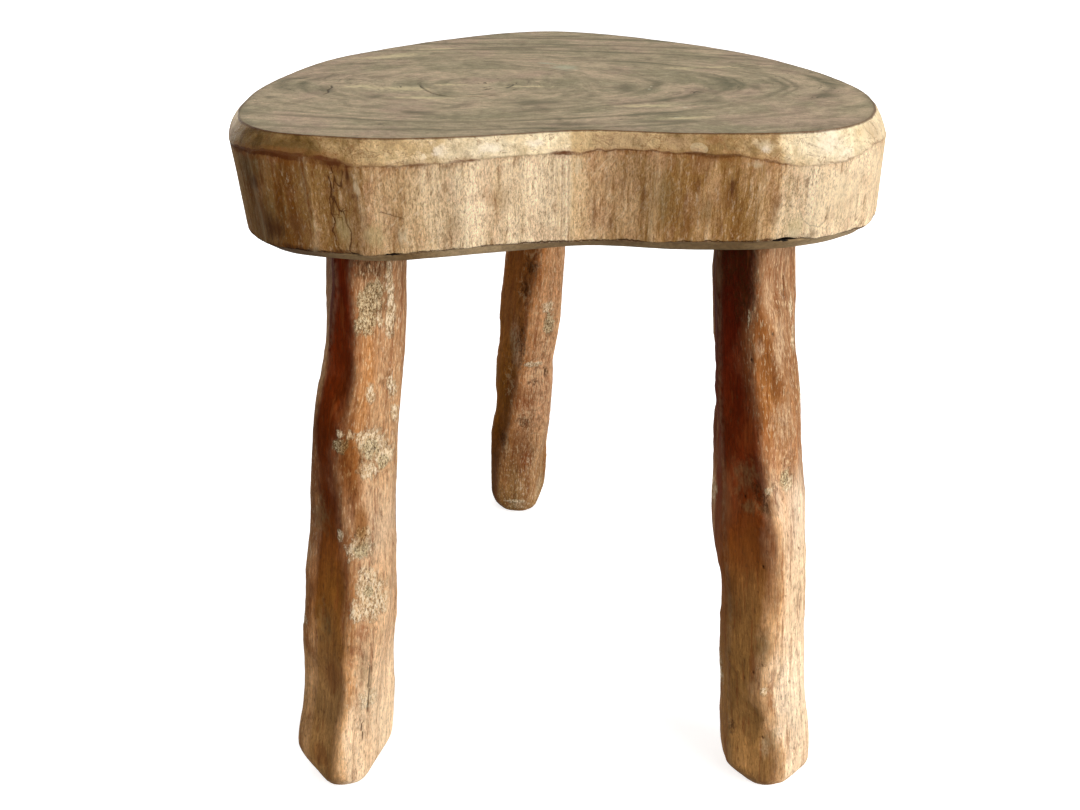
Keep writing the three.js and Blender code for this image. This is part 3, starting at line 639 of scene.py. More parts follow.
# Patches of colour on the legs: kind, degrees around, height, half width, half height.
PATCHES = {
    "front_left": [
        # The first two patches darken the half-shaded strip beside the lead ridge: painted shade.
        ("half_shade", 269, 190, 7.4, 30.0), ("half_shade", 285, 157, 5.0, 16.0),
        ("grey", 284, 256, 5.4, 8.4), ("grey", 291, 263, 6.4, 9.0), ("grey", 299, 268, 5.0, 5.4), ("dark", 294, 280, 9.5, 7.0),
        ("dark", 283, 284, 6.0, 8.0), ("pale", 329, 262, 1.7, 21.0), ("pale", 309, 255, 1.5, 4.0), ("pale", 324, 252, 1.6, 8.0),
        ("pale", 297, 221, 2.4, 6.0), ("pale", 334, 221, 2.0, 6.0), ("brown", 266, 211, 5.2, 6.0), ("grey", 258, 198, 4.6, 4.6),
        ("pale", 259, 204, 2.4, 2.4), ("pale", 270, 203, 2.4, 2.8), ("pale", 304, 196, 8.4, 8.6), ("pale", 322, 188, 6.6, 6.4), ("grey", 304, 193, 5.4, 5.6), ("grey", 322, 186, 3.4, 4.0),
        ("pale", 341, 208, 2.4, 5.0), ("pale", 288, 200, 4.4, 4.4), ("pale", 300, 184, 5.4, 5.0), ("brown", 262, 178, 6.0, 27.0), ("brown", 270, 150, 4.0, 12.0),
        ("pale", 286, 145, 8.0, 6.8), ("grey", 287, 144, 4.6, 4.4), ("pale", 290, 153, 4.6, 4.4), ("pale", 259, 153, 1.9, 3.7), ("pale", 305, 117, 9.2, 14.0),
        ("pale", 299, 127, 6.0, 10.0), ("pale", 284, 112, 3.0, 6.0), ("grey", 302, 121, 3.0, 4.0), ("red", 292, 101, 5.0, 5.6), ("red", 282, 91, 4.2, 4.4),
        ("red", 277, 84, 2.6, 4.0), ("red", 275, 114, 2.2, 11.0), ("olive", 299, 74, 3.5, 13.0), ("brown", 250, 72, 7.0, 14.0),
        ("olive", 235, 102, 6.0, 16.0), ("cream", 334, 39, 8.0, 20.0), ("cream", 341, 28, 7.0, 14.0), ("cream", 335, 110, 4.0, 30.0),
        ("pale", 305, 60, 5.0, 8.0), ("brown", 247, 26, 6.0, 8.0), ("olive", 222, 160, 7.0, 14.0), ("dark", 288, 190, 2.0, 4.0),
        ("pale", 30, 200, 7, 12), ("grey", 70, 110, 6, 9), ("pale", 120, 170, 7, 10), ("red", 150, 80, 6, 14), ("pale", 95, 50, 6, 12),
        ("grey", 165, 220, 5, 8), ("brown", 100, 230, 7, 20), ("dark", 60, 160, 3, 6), ("olive", 140, 130, 6, 16), ("pale", 185, 100, 5, 8)],
    # In this list the cream patches at 279 and 283 degrees near the top are a painted sheen on pale tan wood.
    "front_right": [
        # The first two patches, dark just under the seat on the shaded side, are a painted shadow of the seat.
        ("dark", 232, 281, 9.0, 16.0), ("dark", 246, 268, 7.0, 18.0), ("cream", 279, 264, 7.0, 13.0), ("cream", 283, 259, 5.0, 7.0),
        ("brown", 280, 275, 4.0, 5.0), ("dark", 329, 265, 0.9, 7.0), ("pale", 348, 256, 1.6, 6.0), ("pale", 253, 257, 0.5, 7.0),
        ("brown", 268, 252, 5.5, 16.0), ("brown", 279, 238, 5.5, 15.0), ("brown", 292, 226, 5.0, 9.0), ("cream", 266, 243, 3.0, 8.0), ("cream", 300, 246, 5.0, 24.0),
        ("cream", 292, 207, 9.5, 17.0), ("rough", 296, 182, 7.5, 12.0), ("grey", 300, 180, 3.0, 5.0), ("olive", 303, 178, 5.0, 9.0), ("dark", 270, 171, 4.4, 6.6),
        ("brown", 277, 166, 3.0, 5.0), ("pale", 274, 175, 2.4, 2.6), ("pale", 305, 176, 3.0, 4.0), ("olive", 245, 179, 8.0, 13.0), ("brown", 243, 140, 9.0, 14.0), ("cream", 311, 118, 6.0, 36.0),
        ("cream", 318, 55, 9.0, 36.0), ("cream", 300, 64, 4.0, 14.0), ("pale", 263, 66, 2.4, 3.0), ("olive", 271, 36, 4.0, 12.0),
        ("olive", 262, 92, 6.0, 16.0), ("dark", 262, 82, 3.0, 1.3), ("dark", 258, 176, 3.0, 4.0), ("red", 250, 200, 6.0, 12.0),
        ("olive", 250, 165, 8.0, 5.0), ("cream", 262, 30, 3.4, 10.0), ("dark", 216, 38, 1.7, 6.0), ("pale", 352, 240, 2.0, 8.0),
        ("pale", 20, 210, 6, 12), ("grey", 60, 150, 6, 9), ("pale", 95, 90, 7, 12), ("red", 130, 180, 6, 14), ("pale", 160, 60, 6, 12),
        ("grey", 110, 240, 5, 8), ("brown", 80, 220, 7, 18), ("dark", 150, 120, 3, 6), ("olive", 40, 70, 6, 18), ("pale", 158, 160, 5, 8),
        ("brown", 18, 170, 8, 26), ("brown", 48, 158, 6, 22), ("brown", 84, 172, 7, 24), ("red", 32, 180, 7, 16), ("red", 70, 186, 5, 12),
        ("cream", 26, 216, 7, 22), ("cream", 3, 224, 5, 16), ("cream", 56, 222, 6, 24), ("cream", 98, 216, 6, 20)],
    "rear": [
        ("rough", 262, 215, 8.0, 16.0), ("rough", 250, 190, 6.0, 18.0), ("rough", 276, 90, 9.0, 14.0), ("rough", 312, 150, 6.0, 22.0),
        ("brown", 282, 108, 7.0, 12.0), ("brown", 250, 110, 6.0, 22.0), ("rough", 240, 62, 3.6, 14.0), ("brown", 262, 240, 7.0, 14.0),
        ("dark", 261, 207, 4.6, 4.6), ("dark", 248, 191, 4.0, 6.0), ("pale", 305, 178, 5.0, 5.0), ("grey", 311, 164, 4.2, 10.0),
        ("pale", 290, 134, 6.6, 2.6), ("pale", 276, 136, 3.0, 2.0), ("dark", 318, 127, 1.2, 5.0), ("dark", 282, 119, 4.0, 1.6), ("dark", 264, 88, 6.0, 3.0),
        ("cream", 238, 150, 5.0, 30.0), ("rough", 232, 120, 5.0, 26.0), ("rough", 288, 127, 9.0, 10.0), ("brown", 272, 62, 10.0, 27.0), ("red", 288, 52, 5.0, 15.0), ("dark", 229, 70, 3.6, 7.0),
        ("dark", 270, 84, 2.6, 3.6), ("red", 272, 100, 8.0, 12.0), ("cream", 266, 8, 10.0, 5.0), ("pale", 264, 12, 9.0, 2.2), ("cream", 341, 22, 6.0, 16.0),
        ("cream", 338, 60, 4.0, 20.0), ("olive", 235, 150, 4.0, 16.0), ("dark", 256, 150, 3.0, 24.0), ("dark", 296, 118, 3.0, 3.0),
        ("pale", 20, 200, 6, 12), ("grey", 70, 120, 6, 9), ("pale", 110, 60, 6, 12), ("red", 140, 190, 6, 14), ("pale", 165, 90, 6, 10),
        ("olive", 90, 230, 6, 14), ("brown", 40, 80, 7, 18), ("dark", 150, 150, 3, 6)],
}
KINDS = ("pale", "grey", "red", "brown", "dark", "cream", "olive", "rough", "half_shade")

# Worm holes (degrees, height) and drying splits (points as degrees, height; width; depth).
HOLES = {
    "front_left": [(343, 264), (40, 90), (62, 210), (120, 52), (170, 130), (95, 160)],
    "front_right": [(366, 270), (368, 250), (257, 237), (284, 249), (368, 232), (312, 216), (306, 188), (294, 169), (240, 169),
                    (266, 136), (323, 140), (296, 118), (248, 76), (302, 68), (261, 37), (30, 130), (75, 60), (120, 200), (165, 90)],
    "rear": [(30, 110), (70, 180), (110, 90), (160, 60), (200, 140)],
}
SPLITS = {
    "front_left": [([(302, 84), (303, 72), (306, 60), (305, 49)], 0.34, 1.2), ([(301, 50), (300, 43), (302, 33)], 0.3, 0.9),
                   ([(96, 285), (92, 240), (97, 200), (94, 165)], 0.5, 2.2), ([(150, 10), (154, 50), (150, 95)], 0.45, 1.8)],
    "front_right": [([(329, 271), (331, 264), (329, 257)], 0.35, 0.9), 
                    ([(80, 12), (84, 60), (79, 110), (83, 150)], 0.5, 2.2), ([(140, 285), (144, 250), (139, 215)], 0.45, 1.8)],
    "rear": [([(20, 280), (24, 230), (18, 190)], 0.45, 2.0), ([(100, 14), (104, 60), (99, 120)], 0.5, 2.2),
             ([(318, 118), (316, 128), (312, 134)], 0.35, 0.8)],
}


def blob(P, centre, half_wide, half_high, deep=None):
    """Distance from a point of the surface as an ellipsoid's radius: 1 on its rim."""
    deep = deep or max(1.8 * half_wide, 5.0)
    d = P - centre
    return np.sqrt((d[..., 0] / half_wide) ** 2 + (d[..., 1] / deep) ** 2 + (d[..., 2] / half_high) ** 2)


def build_leg(name):
    leg = LEGS[name]
    seed = int(leg["seed"] * 10)
    na, nb = Noise(seed + 3), Noise(seed + 4)
    rng = np.random.RandomState(seed)
    z = np.concatenate([[0.0, 0.35, 1.0, 1.8], np.arange(2.7, SHOULDER - 0.4, 0.96), [SHOULDER]])
    u, face, frac, wide = section(leg, LEG_DEG, z)
    soft = np.clip(along(leg["soft"], z), 0, 1)
    u = worn(u, soft)
    across = u * np.cos(np.radians(LEG_DEG))
    k = 2 * along(leg["r"], z) / (across.max(1) - across.min(1))
    off = -k * (across.max(1) + across.min(1)) / 2
    cx, cy = leg_centre(leg, z)
    cx = cx + off
    th = np.radians(LEG_DEG)[None, :]
    Z = np.broadcast_to(z[:, None], u.shape)
    r = u * k[:, None]
    # Distance to the nearest ridge, in millimetres.
    near = np.minimum(frac, 1 - frac) * wide * r
    r = r - 0.4 * np.exp(-(near / 1.3) ** 2) * (1 - soft[:, None])
    # Long hollow strokes of the hewing, face by face, meeting in cross ridges.
    stroke = np.zeros_like(r)
    for f in range(face.max() + 1):
        marks = np.concatenate([[-30.0], np.cumsum(rng.uniform(26, 62, 16)) - 20])
        depth = rng.uniform(0.35, 1.0, len(marks))
        lean = rng.uniform(-9, 9)
        v = Z + lean * (frac - 0.5) + 3.0 * na(Z / 30, frac * 2, f)
        i = np.clip(np.searchsorted(marks, v) - 1, 0, len(marks) - 2)
        w = (v - marks[i]) / (marks[i + 1] - marks[i])
        stroke = np.where(face == f, depth[i] * 4 * w * (1 - w) * np.sqrt(np.clip(4 * frac * (1 - frac), 0, 1)), stroke)
    r = r - stroke + 0.35
    # Chiselled foot.
    sole = leg["sole"] * 0.97
    for a, high in FEET[name]:
        full = np.interp(np.mod(a, 360), LEG_DEG, u[np.searchsorted(z, high)] * k[np.searchsorted(z, high)], period=360)
        plane = (sole + Z * (full - sole) / high) / np.maximum(np.cos(th - math.radians(a)), 0.05)
        blend = np.clip(0.5 + 0.5 * (plane - r) / 3.2, 0, 1)
        r = np.where(Z < 34, plane + (r - plane) * blend - 3.2 * blend * (1 - blend), r)
    r = r - 0.9 * (1 - smooth(0, 1.6, Z)) ** 2
    # Points, then the cuts at their places.
    def points(rr):
        return np.stack([cx[:, None] + rr * np.cos(th), cy[:, None] + rr * np.sin(th), Z], -1)

    def place(deg, zz):
        j = int(round((deg % 360) / 360 * LEG_COLS)) % LEG_COLS
        i = int(np.clip(np.searchsorted(z, zz), 0, len(z) - 1))
        return P[i, j]
    P = points(r)
    wob = 0.16 * na(P[..., 0] / 5, P[..., 1] / 5, P[..., 2] / 7, 2)
    for deg, zz, hw, hh, deep in CUTS[name]:
        q = blob(P, place(deg, zz), hw, hh) + wob
        r = r - deep * np.clip(1 - q ** 2, 0, 1) ** 0.8
    # Patches as fields: 1 in the middle, 0 on the rim, and their relief.
    fields = {kind: np.full(r.shape, -1.0) for kind in KINDS}
    for kind, deg, zz, hw, hh in PATCHES[name]:
        q = blob(P, place(deg, zz), hw, hh)
        fields[kind] = np.maximum(fields[kind], np.clip(1 - q, -1, 1))
    rough = nb(P[..., 0] / 1.7, P[..., 1] / 1.7, P[..., 2] / 2.4, 2)
    for kind, amp in (("grey", 0.22), ("rough", 0.2), ("pale", 0.14), ("dark", 0.14)):
        r = r + amp * rough * smooth(-0.05, 0.3, fields[kind])
    # Fibres and small torn ripples.
    ux, uy = P[..., 0] - cx[:, None], P[..., 1] - cy[:, None]
    r = r + 0.07 * na(ux / 1.6, uy / 1.6, Z / 34, 2) + 0.12 * nb(ux / 4.5, uy / 4.5, Z / 22)
    r = r + 0.10 * na(ux / 7, uy / 7, Z / 5.5, 2)
    # Splits and worm holes.
    pit = np.zeros_like(r)
    P = points(r)
    for line, half, deep in SPLITS[name]:
        p = densify([(a * 0.36, b) for a, b in line], 0.8)[0]
        c = np.stack([place(a / 0.36, b) for a, b in p])
        jit = 0.35 * np.stack([na(c[:, 2] / 2.1, 4.0, 0.5), na(c[:, 2] / 2.1, 9.0, 0.5), 0 * c[:, 2]], -1)
        c = c + jit
        zlo, zhi = c[:, 2].min() - 2, c[:, 2].max() + 2
        rows = np.where((z > zlo) & (z < zhi))[0]
        sub = P[rows]
        d = np.full(sub.shape[:2], 9.0)
        for q0 in c:
            d = np.minimum(d, np.linalg.norm(sub - q0, axis=-1))
        ends = smooth(0, 6, sub[..., 2] - zlo - 2) * smooth(0, 6, zhi - 2 - sub[..., 2])
        g = (1 - smooth(half * 0.4, half + 0.55, d)) * (0.3 + 0.7 * ends)
        r[rows] -= deep * g
        pit[rows] = np.maximum(pit[rows], g)
    P = points(r)
    holes = []
    for deg, zz in HOLES[name]:
        j = int(round((deg % 360) / 360 * LEG_COLS)) % LEG_COLS
        i = int(np.clip(np.searchsorted(z, zz), 2, len(z) - 3))
        r[i, j] -= 1.9
        pit[i, j] = 1.0
        for di, dj in ((0, 1), (0, -1), (1, 0), (-1, 0)):
            pit[i + di, (j + dj) % LEG_COLS] = max(pit[i + di, (j + dj) % LEG_COLS], 0.35)
    P = points(r)

    side = P.reshape(-1, 3)
    verts = [side]
    cols, rows = LEG_COLS, len(z)
    quads = [grid_quads(rows, cols)[:, ::-1]]
    tris = []
    count = len(side)
    # Sole: two inner rings and a centre.
    prev = np.arange(cols)
    centre0 = np.array([cx[0], cy[0], 0.0])
    for f in (0.66, 0.33):
        verts.append(centre0 + (P[0] - centre0) * [f, f, 0])
        here = count + np.arange(cols)
        quads.append(np.stack([prev, np.roll(prev, -1), np.roll(here, -1), here], -1)[:, ::-1][:, ::-1])
        prev, count = here, count + cols
    verts.append(centre0[None])
    tris.append(np.stack([prev, np.roll(prev, -1), np.full(cols, count)], -1))
    count += 1
    # Shoulder and tenon.
    prev = (rows - 1) * cols + np.arange(cols)
    ca, sa = np.cos(th[0]), np.sin(th[0])
    for rad, zz in ((TENON_R, SHOULDER), (TENON_R, 300.0), (TENON_R, 311.0), (TENON_R, TENON_TIP - 1.5),
                    (TENON_R - 0.5, TENON_TIP - 0.5), (TENON_R - 1.5, TENON_TIP)):
        ax, ay = axis_at(leg, zz)
        verts.append(np.stack([ax + rad * ca, ay + rad * sa, np.full(cols, zz)], -1))
        here = count + np.arange(cols)
        quads.append(np.stack([prev, here, np.roll(here, -1), np.roll(prev, -1)], -1)[:, ::-1])
        prev, count = here, count + cols
    ax, ay = axis_at(leg, TENON_TIP)
    verts.append(np.array([[ax, ay, TENON_TIP]]))
    tris.append(np.stack([prev, np.full(cols, count), np.roll(prev, -1)], -1)[:, ::-1])
    count += 1
    V = np.concatenate(verts)
    ob = make_mesh(name, V, np.concatenate(quads), np.concatenate(tris))
    face_outwards(ob.data)
    # Values on the points; those past the side's grid take plain ones.
    m = len(side)
    values = {kind: np.concatenate([fields[kind].ravel(), np.full(len(V) - m, -1.0)]) for kind in KINDS}
    # Painted light and shade: past the lead ridge, toward the key light, the leg takes its lit colours, and before the
    # ridge its shaded ones, across a soft step that soft and haze widen. Far round the back, the lit share falls again.
    lead = ridges_at(leg, z)[0][:, 0][:, None]
    turn = (np.broadcast_to(LEG_DEG[None, :], r.shape) - lead + 540) % 360 - 180
    wide_step = 6 + 30 * soft[:, None] + leg["haze"]
    step = smooth(-wide_step, wide_step, turn)
    lit = step * (1 - smooth(120, 170, turn)) * 0.75 + 0.25 * step
    # Painted rim light: the side turned to the wall behind is painted paler, from the leg's far edge on, as if lit from
    # there.
    away = leg["away"] - LEG_DEG[None, :]
    rim = 0.42 + 0.38 * smooth(200, 232, z)[:, None]
    lit = np.maximum(lit, rim * smooth(2, 16, away) * smooth(180, 150, away))
    # Painted highlight: a warm band just past the lead ridge on the lit side, as strong as the glow table gives at each
    # height.
    glow = np.exp(-((turn - 14 - 8 * soft[:, None]) / 13) ** 2) * along(leg["glow"], z)[:, None]
    values["ridge_highlight"] = np.concatenate([glow.ravel(), np.zeros(len(V) - m)])
    values["lit"] = np.concatenate([lit.ravel(), np.full(len(V) - m, 0.5)])
    values["ridge"] = np.concatenate([np.exp(-(near / 1.6) ** 2).ravel(), np.zeros(len(V) - m)])
    values["pit"] = np.concatenate([pit.ravel(), np.zeros(len(V) - m)])
    lcx, lcy = leg_centre(leg, V[:, 2])
    local = np.stack([V[:, 0] - lcx, V[:, 1] - lcy, V[:, 2]], -1) / 1000.0
    return ob, values, local


def put_vector(me, name, values):
    at = me.attributes.new(name, "FLOAT_VECTOR", "POINT")
    at.data.foreach_set("vector", np.ascontiguousarray(values, np.float32).ravel())


def saw_kerf(ob, leg, values, local):
    """Cuts the wedge's kerf into the tenon and sets the values on what is left."""
    sx, sy = leg_slope(leg)
    zt = MORTISE_END - GAP - 1.3
    ax, ay = axis_at(leg, zt)
    up = Vector((sx, sy, 1.0)).normalized()
    turn = math.radians(leg["turn"])
    across = Vector((math.cos(turn), math.sin(turn), 0.0))
    across = (across - up * across.dot(up)).normalized()
    third = across.cross(up)
    half_top, half_low, length, rise = 1.8 + GAP, 0.5 + GAP, 18.0, 4.0
    flare = (half_top - half_low) / length * rise
    outline = [(-half_low, -length - 1.2), (half_low, -length - 1.2), (half_top + flare, rise), (-half_top - flare, rise)]
    pts = []
    for w in (-20.0, 20.0):
        for a, b in outline:
            p = Vector((ax, ay, zt)) + across * a + up * b + third * w
            pts.append(tuple(p))
    quads = [(0, 1, 2, 3), (7, 6, 5, 4), (0, 4, 5, 1), (1, 5, 6, 2), (2, 6, 7, 3), (3, 7, 4, 0)]
    cutter = make_mesh("kerf_cutter", pts, quads)
    face_outwards(cutter.data)
    old = coords_mm(ob.data)
    mod = ob.modifiers.new("kerf", "BOOLEAN")
    mod.operation, mod.object, mod.solver = "DIFFERENCE", cutter, "EXACT"
    deps = bpy.context.evaluated_depsgraph_get()
    new = bpy.data.meshes.new_from_object(ob.evaluated_get(deps))
    ob.modifiers.clear()
    was = ob.data
    ob.data = new
    bpy.data.meshes.remove(was)
    bpy.data.objects.remove(cutter)
    new.name = ob.name
    now = coords_mm(new)
    key = {tuple(k): i for i, k in enumerate(np.round(old * 200).astype(int))}
    idx = np.array([key.get(tuple(k), -1) for k in np.round(now * 200).astype(int)])
    lost = idx < 0
    for kind, v in values.items():
        put(new, kind, np.where(lost, -1.0 if kind in KINDS else 0.4, v[idx]))
    lcx, lcy = leg_centre(leg, now[:, 2])
    put_vector(new, "local", np.stack([now[:, 0] - lcx, now[:, 1] - lcy, now[:, 2]], -1) / 1000.0)
    return int(lost.sum())


# ------------------------------------------------------------------ marks on the slab
# The side is laid out flat: S is the girth in millimetres, T the height, measured
# down from the arris between the upper chamfer and the wall.
def drop_of(v):
    return np.where(v < 1, (v - 1) * 11.0, np.where(v < 2, (v - 1) * 44.0, 44.0 + (v - 2) * 5.0))


# Kind, S, T, half length along S, half height.
SIDE_PATCHES = [
    ("olive", 512, 34, 17, 22), ("olive", 505, 8, 16, 14), ("stain", 516, 35, 8, 9), ("stain", 508, 14, 5, 7), ("stain", 522, 43, 14, 2.2),
    ("drip", 510, 27, 5, 11), ("drip", 526, 32, 6, 10), ("tan", 490, 22, 10, 20),
    ("stain", 546.5, 0.5, 6.5, 2.6), ("stain", 541, -0.8, 6, 1.8), ("drip", 552.4, 7.5, 2.3, 10.5), ("stain", 551.8, 5.0, 1.3, 6.0), ("stain", 553.8, 14.6, 2.4, 2.0),
    ("drip", 549, 3, 4.5, 4), ("pale", 555.8, 10.5, 1.9, 4.4), ("yellow", 547.5, 31, 4.8, 11), ("yellow", 560, 34, 6, 9),
    ("stain", 545, 43, 6, 1.6), ("drip", 577.5, -0.2, 5.2, 1.8), ("drip", 590, 1.5, 5, 2.4), ("stain", 599.5, -0.3, 4.4, 1.3),
    ("stain", 637, 0.2, 4.0, 1.4), ("drip", 696.7, 1.2, 9.0, 2.4), ("drip", 669.2, 22, 1.6, 13), ("drip", 661.5, 12, 1.4, 12),
    ("drip", 687.6, 36, 2.0, 11), ("drip", 686.0, 24, 1.5, 9), ("drip", 691.0, 15, 2.6, 6.0), ("drip", 694.6, 8, 1.7, 10),
    ("olive", 695.6, 27, 4.8, 12), ("drip", 703.6, 22, 4.0, 11), ("stain", 704.8, 15, 1.6, 6), ("drip", 701.5, 36, 1.8, 9),
    ("drip", 722.0, 24, 2.8, 14), ("drip", 715.0, 30, 1.0, 9), ("pale", 713.2, 2.8, 3.8, 2.8),
    ("yellow", 732, 36, 6, 9), ("pale", 731, 40, 5, 4), ("tan", 774, -5.5, 13, 7), ("cream", 752, 22, 22, 30), ("cream", 745, -6, 18, 7), ("white", 746, -6.5, 10.0, 5.4), ("white", 752, -2.5, 7.0, 3.0),
    ("halfmoon", 690.4, -3.0, 3.6, 3.2), ("drip", 697.4, -8, 6.4, 3.6), ("cream", 717, -6.5, 7, 3.4), ("white", 716.5, -5, 2.6, 1.9),
    ("tan", 659.5, -5.5, 19, 7), ("tan", 683, -6, 9, 6), ("white", 607, -5.0, 6.0, 3.2), ("white", 586, -5.5, 4.6, 3.0), ("white", 625, -6, 4.5, 2.4),
    ("cream", 600, -5, 26, 7), ("olive", 677, 22, 6.2, 21), ("drip", 650, 30, 1.4, 18), ("stain", 706.8, 42, 2.0, 1.3),
    ("stain", 719.9, 43, 5.2, 1.0), ("pale", 643, 6, 2.6, 5), ("pale", 571, 34, 3.0, 6), ("drip", 657, 35, 1.8, 6), ("olive", 525, -5, 16, 6),
    ("tan", 612, 20, 7, 12), ("stain", 500, 1.5, 8, 1.5), ("stain", 520, 0.5, 15, 1.8), ("drip", 740.5, 40, 3, 3), ("tan", 592, 30, 6, 9),
    ("drip", 20, 0.5, 14, 1.6), ("drip", 30, 20, 2, 16), ("olive", 60, 25, 14, 18), ("cream", 100, 20, 20, 22), ("stain", 128, 0.4, 12, 1.8),
    ("drip", 135, 14, 2, 14), ("yellow", 150, 30, 9, 14), ("drip", 178, 22, 2.4, 16), ("olive", 205, 20, 16, 22), ("stain", 230, 36, 7, 9),
    ("cream", 262, 22, 20, 20), ("drip", 290, 0.3, 16, 1.6), ("drip", 296, 18, 2, 17), ("tan", 320, 24, 14, 18), ("stain", 346, 0.4, 10, 1.9),
    ("drip", 352, 14, 1.8, 14), ("cream", 380, 24, 16, 20), ("yellow", 402, 32, 7, 12), ("olive", 430, 20, 18, 24), ("drip", 455, 18, 2.2, 18),
    ("stain", 466, 0.4, 12, 2.0), ("stain", 470, 34, 4, 6), ("drip", 826, 20, 2, 18), ("cream", 800, 24, 26, 24), ("drip", 800, 0.2, 14, 1.3),
    ("cream", 40, -5, 16, 6), ("tan", 90, -6, 20, 6), ("cream", 170, -5, 20, 6), ("tan", 250, -5, 24, 6), ("cream", 330, -5, 20, 6),
    ("olive", 452, -5, 30, 7), ("olive", 488, -5, 20, 7), ("drip", 470, -3, 26, 4), ("cream", 800, -5, 26, 6), ("white", 820, -5, 9, 4),
]
SIDE_KINDS = ("stain", "drip", "olive", "pale", "yellow", "cream", "white", "tan", "halfmoon")

# How dark each of the zone lines below is, and the lines themselves: thin brown
# lines and cracks of the spalted wood, as points (S, T).
LINE_DARK = [0.9, 1.0, 1.0, 1.0, 0.42, 0.30, 0.30, 0.22, 0.20, 0.25, 0.35, 0.5, 0.4, 0.35, 0.35, 0.35, 0.7, 0.5, 0.7, 0.6, 0.7, 0.6, 0.6]
SIDE_LINES = [
    [(545.6, 2.0), (545.9, 4.4), (546.6, 7.9), (547.3, 11.0), (548.8, 11.2), (549.6, 7.6), (550.2, 3.0)],
    [(543.8, 6.0), (544.4, 9.9), (544.6, 13.2), (542.9, 18.5), (543.4, 22.0), (542.9, 24.6), (544.4, 27.3), (542.4, 32.6), (543.4, 36.5), (543.1, 39.5), (545.3, 43.0)],
    [(545.1, 15.7), (545.9, 20.1), (546.6, 23.8), (548.0, 22.0), (548.8, 25.5), (548.9, 29.0), (550.4, 31.7), (550.2, 36.1), (549.4, 39.6), (548.4, 43.0)],
    [(563.9, 22.0), (568.2, 23.8), (572.5, 25.6)],
    [(732.8, 25.3), (734.7, 31.7), (737.7, 35.2), (742.2, 37.0), (745.1, 34.3), (745.8, 29.9), (746.8, 23.6)],
    [(735.9, 4.6), (735.3, 8.0), (734.7, 12.3), (736.4, 15.1)],
    [(725.9, 16.6), (727.4, 21.1), (729.8, 25.0)],
    [(560.4, -7.9), (559.6, -9.5), (557.2, -10.9)],
    [(589.2, -10.9), (592.0, -8.4), (593.4, -6.0), (593.9, -4.2)],
    [(565.6, -8.0), (568.7, -4.2), (571.4, -1.2)],
    [(532.2, 3.5), (533.6, 8.6), (533.9, 13.6), (532.6, 19.0)],
    [(766.9, -10.2), (768.0, -6.6), (771.4, -2.4), (770.6, 1.6)], [(774.0, -9.6), (776.9, -5.6)], [(533.2, -11.0), (537.7, -8.4)],
    [(683.4, 12.0), (684.6, 20.0), (684.2, 29.0), (685.6, 36.0), (685.4, 43.0)],
    [(706.6, 6.0), (706.0, 13.0), (706.8, 21.0), (706.2, 26.0)],
    [(70.0, 4.0), (73.0, 12.0), (70.5, 19.0), (74.0, 28.0), (71.0, 38.0)], [(148.0, 16.0), (153.0, 24.0), (160.0, 27.0), (166.0, 22.0), (168.0, 14.0)],
    [(226.0, 6.0), (229.0, 16.0), (226.0, 25.0), (230.0, 34.0), (228.0, 42.0)], [(300.0, 28.0), (306.0, 34.0), (314.0, 33.0), (318.0, 26.0)],
    [(398.0, 8.0), (401.0, 18.0), (399.0, 27.0), (403.0, 36.0)], [(444.0, 20.0), (450.0, 27.0), (458.0, 26.0)], [(815.0, 10.0), (819.0, 19.0), (816.0, 30.0)],
]

# The dark line along the chamfer's lower arris: S, half width, darkness.
ARRIS = np.array([
    (480, 1.0, 0.9), (495, 1.2, 0.9), (509, 1.6, 1.0), (522, 2.1, 1.0), (538, 2.3, 1.0), (550, 1.5, 0.9), (556, 0.5, 0.6), (574, 0.5, 0.6),
    (580, 0.8, 0.6), (590, 0.6, 0.35), (597, 0.9, 0.8), (604, 0.5, 0.3), (630, 0.4, 0.22), (634, 1.2, 1.0), (640, 1.0, 1.0), (646, 0.6, 0.85),
    (684, 0.6, 0.9), (688, 1.2, 0.8), (704, 1.4, 0.8), (708, 0.4, 0.3), (712, 0.6, 0.8), (732, 0.5, 0.75), (740, 0.4, 0.4), (752, 0.4, 0.5),
    (770, 0.4, 0.55), (800, 0.5, 0.5), (860, 0.6, 0.5)])
# How pale the wall's wood is along the girth: 0 dark olive brown, 1 pale cream; the paler stretch from 430 to 482 at
# the far left end is a painted rim light.
WALL_TONE = np.array([
    (0, 0.80), (60, 0.45), (100, 0.70), (150, 0.5), (205, 0.32), (262, 0.62), (320, 0.5), (380, 0.62), (430, 0.64), (452, 0.58), (468, 0.50), (482, 0.44), (500, 0.30),
    (520, 0.25), (540, 0.32), (552, 0.42), (566, 0.60), (600, 0.88), (632, 0.97), (639, 0.97), (641, 0.66), (655, 0.60), (668, 0.52),
    (690, 0.42), (706, 0.38), (722, 0.46), (725.4, 0.84), (740, 0.96), (760, 0.97), (800, 0.90), (874, 0.80)])

